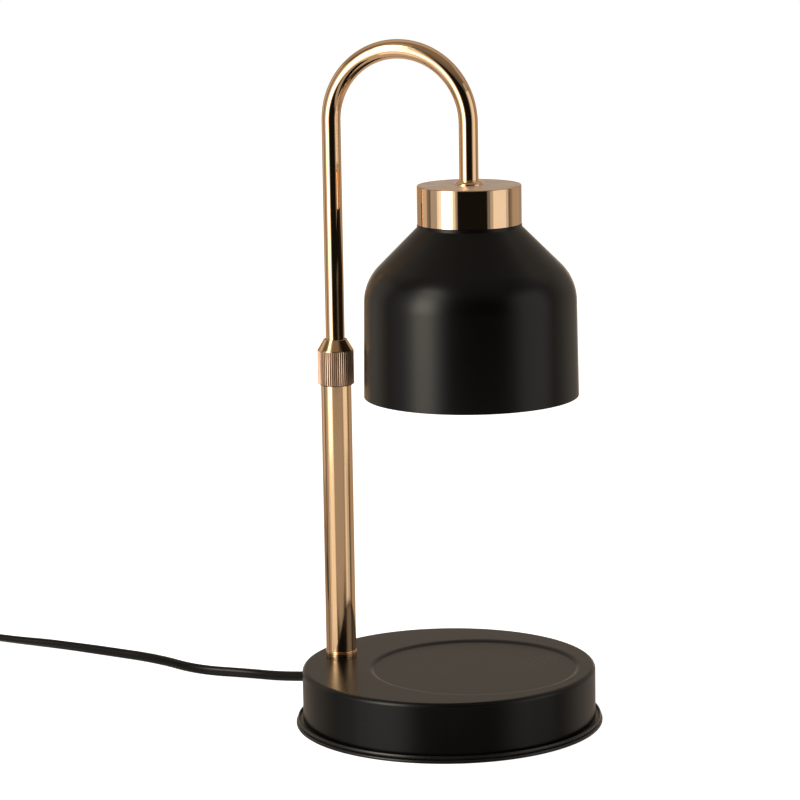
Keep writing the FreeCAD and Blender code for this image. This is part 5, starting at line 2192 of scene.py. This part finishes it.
    def floor(self) -> None:
        """The pale floor; polished metal doesn't mirror it."""
        material, g = started("pale_floor")
        matt = g.node("ShaderNodeBsdfDiffuse", None, {0: g.blend(g.grain(g.here(), 0.3), *self.floor_tones)})
        sockets = {"Color": (1.0, 1.0, 1.0, 1.0), "Strength": self.floor_glow}
        both = g.node("ShaderNodeAddShader", None, {0: matt, 1: g.node("ShaderNodeEmission", None, sockets)})
        g.node("ShaderNodeOutputMaterial", None, {0: both})
        s = self.floor_size
        floor = self.sheet("floor", material, [(-s, -s, 0), (s, -s, 0), (s, s, 0), (-s, s, 0)])
        floor.visible_glossy = floor.visible_diffuse = False

    def world(self) -> None:
        """White behind everything; for reflections a dim room that is brighter high behind the lamp."""
        world = bpy.data.worlds.new("room")
        world.use_nodes = True
        g = Graph(world.node_tree)
        seen = g.node("ShaderNodeLightPath", None, None, "Is Camera Ray")
        way = g.node("ShaderNodeTexCoord", None, None, "Generated")
        behind = -self.toward(0.0)
        sockets = {0: way, 1: tuple(behind)}
        backward = g.node("ShaderNodeVectorMath", {"operation": "DOT_PRODUCT"}, sockets, "Value")
        height = g.node("ShaderNodeSeparateXYZ", None, {0: way}, "Z")
        high = g.ease(height, *self.high_rise)
        front = g.blend(high, self.level(0.0), self.level(self.top_glow))
        back = g.blend(high, self.level(self.back_glow), self.high_back)
        around = g.blend(g.ease(backward, *self.back_rise), front, back)
        around = g.blend(g.ease(height, *self.under_fall), around, self.under)
        low = g.ease(backward, *self.table_rise) * (1.0 - g.ease(height, *self.table_fall))
        shine = g.blend(low, around, self.level(self.table_back))
        glow = g.node("ShaderNodeBackground", None, {"Color": shine, "Strength": 1.0})
        white = g.node("ShaderNodeBackground", None, {"Color": (1.0, 1.0, 1.0, 1.0), "Strength": 1.0})
        both = g.node("ShaderNodeMixShader", None, {0: seen, 1: glow, 2: white})
        g.node("ShaderNodeOutputWorld", None, {0: both})
        bpy.context.scene.world = world

    def level(self, glow: float) -> Colour:
        """The room's dim light with a warm glow added to it."""
        return tuple(self.dim * d + glow * w for d, w in zip(self.dim_tint, self.glow_tint))

    def build(self) -> None:
        """Set up the room."""
        self.camera()
        self.floor()
        self.world()
        for panel in self.lights:
            self.light(panel)
        for panel in self.cards:
            self.card(panel)


def dress_cad_nodes() -> None:
    """Give every CAD node the finish of its slot."""
    for part in frame["record"]["subparts"]:
        node = frame["nodes"][part["node"]]
        material = SLOT_LOOKS[part["material_slot"]].material()
        for slot in node.material_slots:
            slot.material = material


def main() -> None:
    """Build the lamp and its room."""
    logging.basicConfig(level=logging.INFO, format="%(message)s")
    Studio().build()
    dress_cad_nodes()
    Base().build()
    around, bands = Repeat(bars_around, BARS_AROUND), Repeat(bands_along, BANDS_ALONG)
    Mast().build(around)
    Arm().build()
    Bulb().build()
    nodes = frame["nodes"]
    dimmer_nodes = [nodes[n] for n in sorted(nodes) if n.startswith("dimmer_")]
    *on_dimmer, bands_out = Dimmer().build(around, bands)
    on_run = [*dimmer_nodes, nodes["cord_boot"], *on_dimmer]
    on_store = [bands_out, nodes["plug_body"], nodes["plug_pins"], *Plug().build(bands)]
    Flex().build(on_run, on_store)


if __name__ == "__main__":
    main()
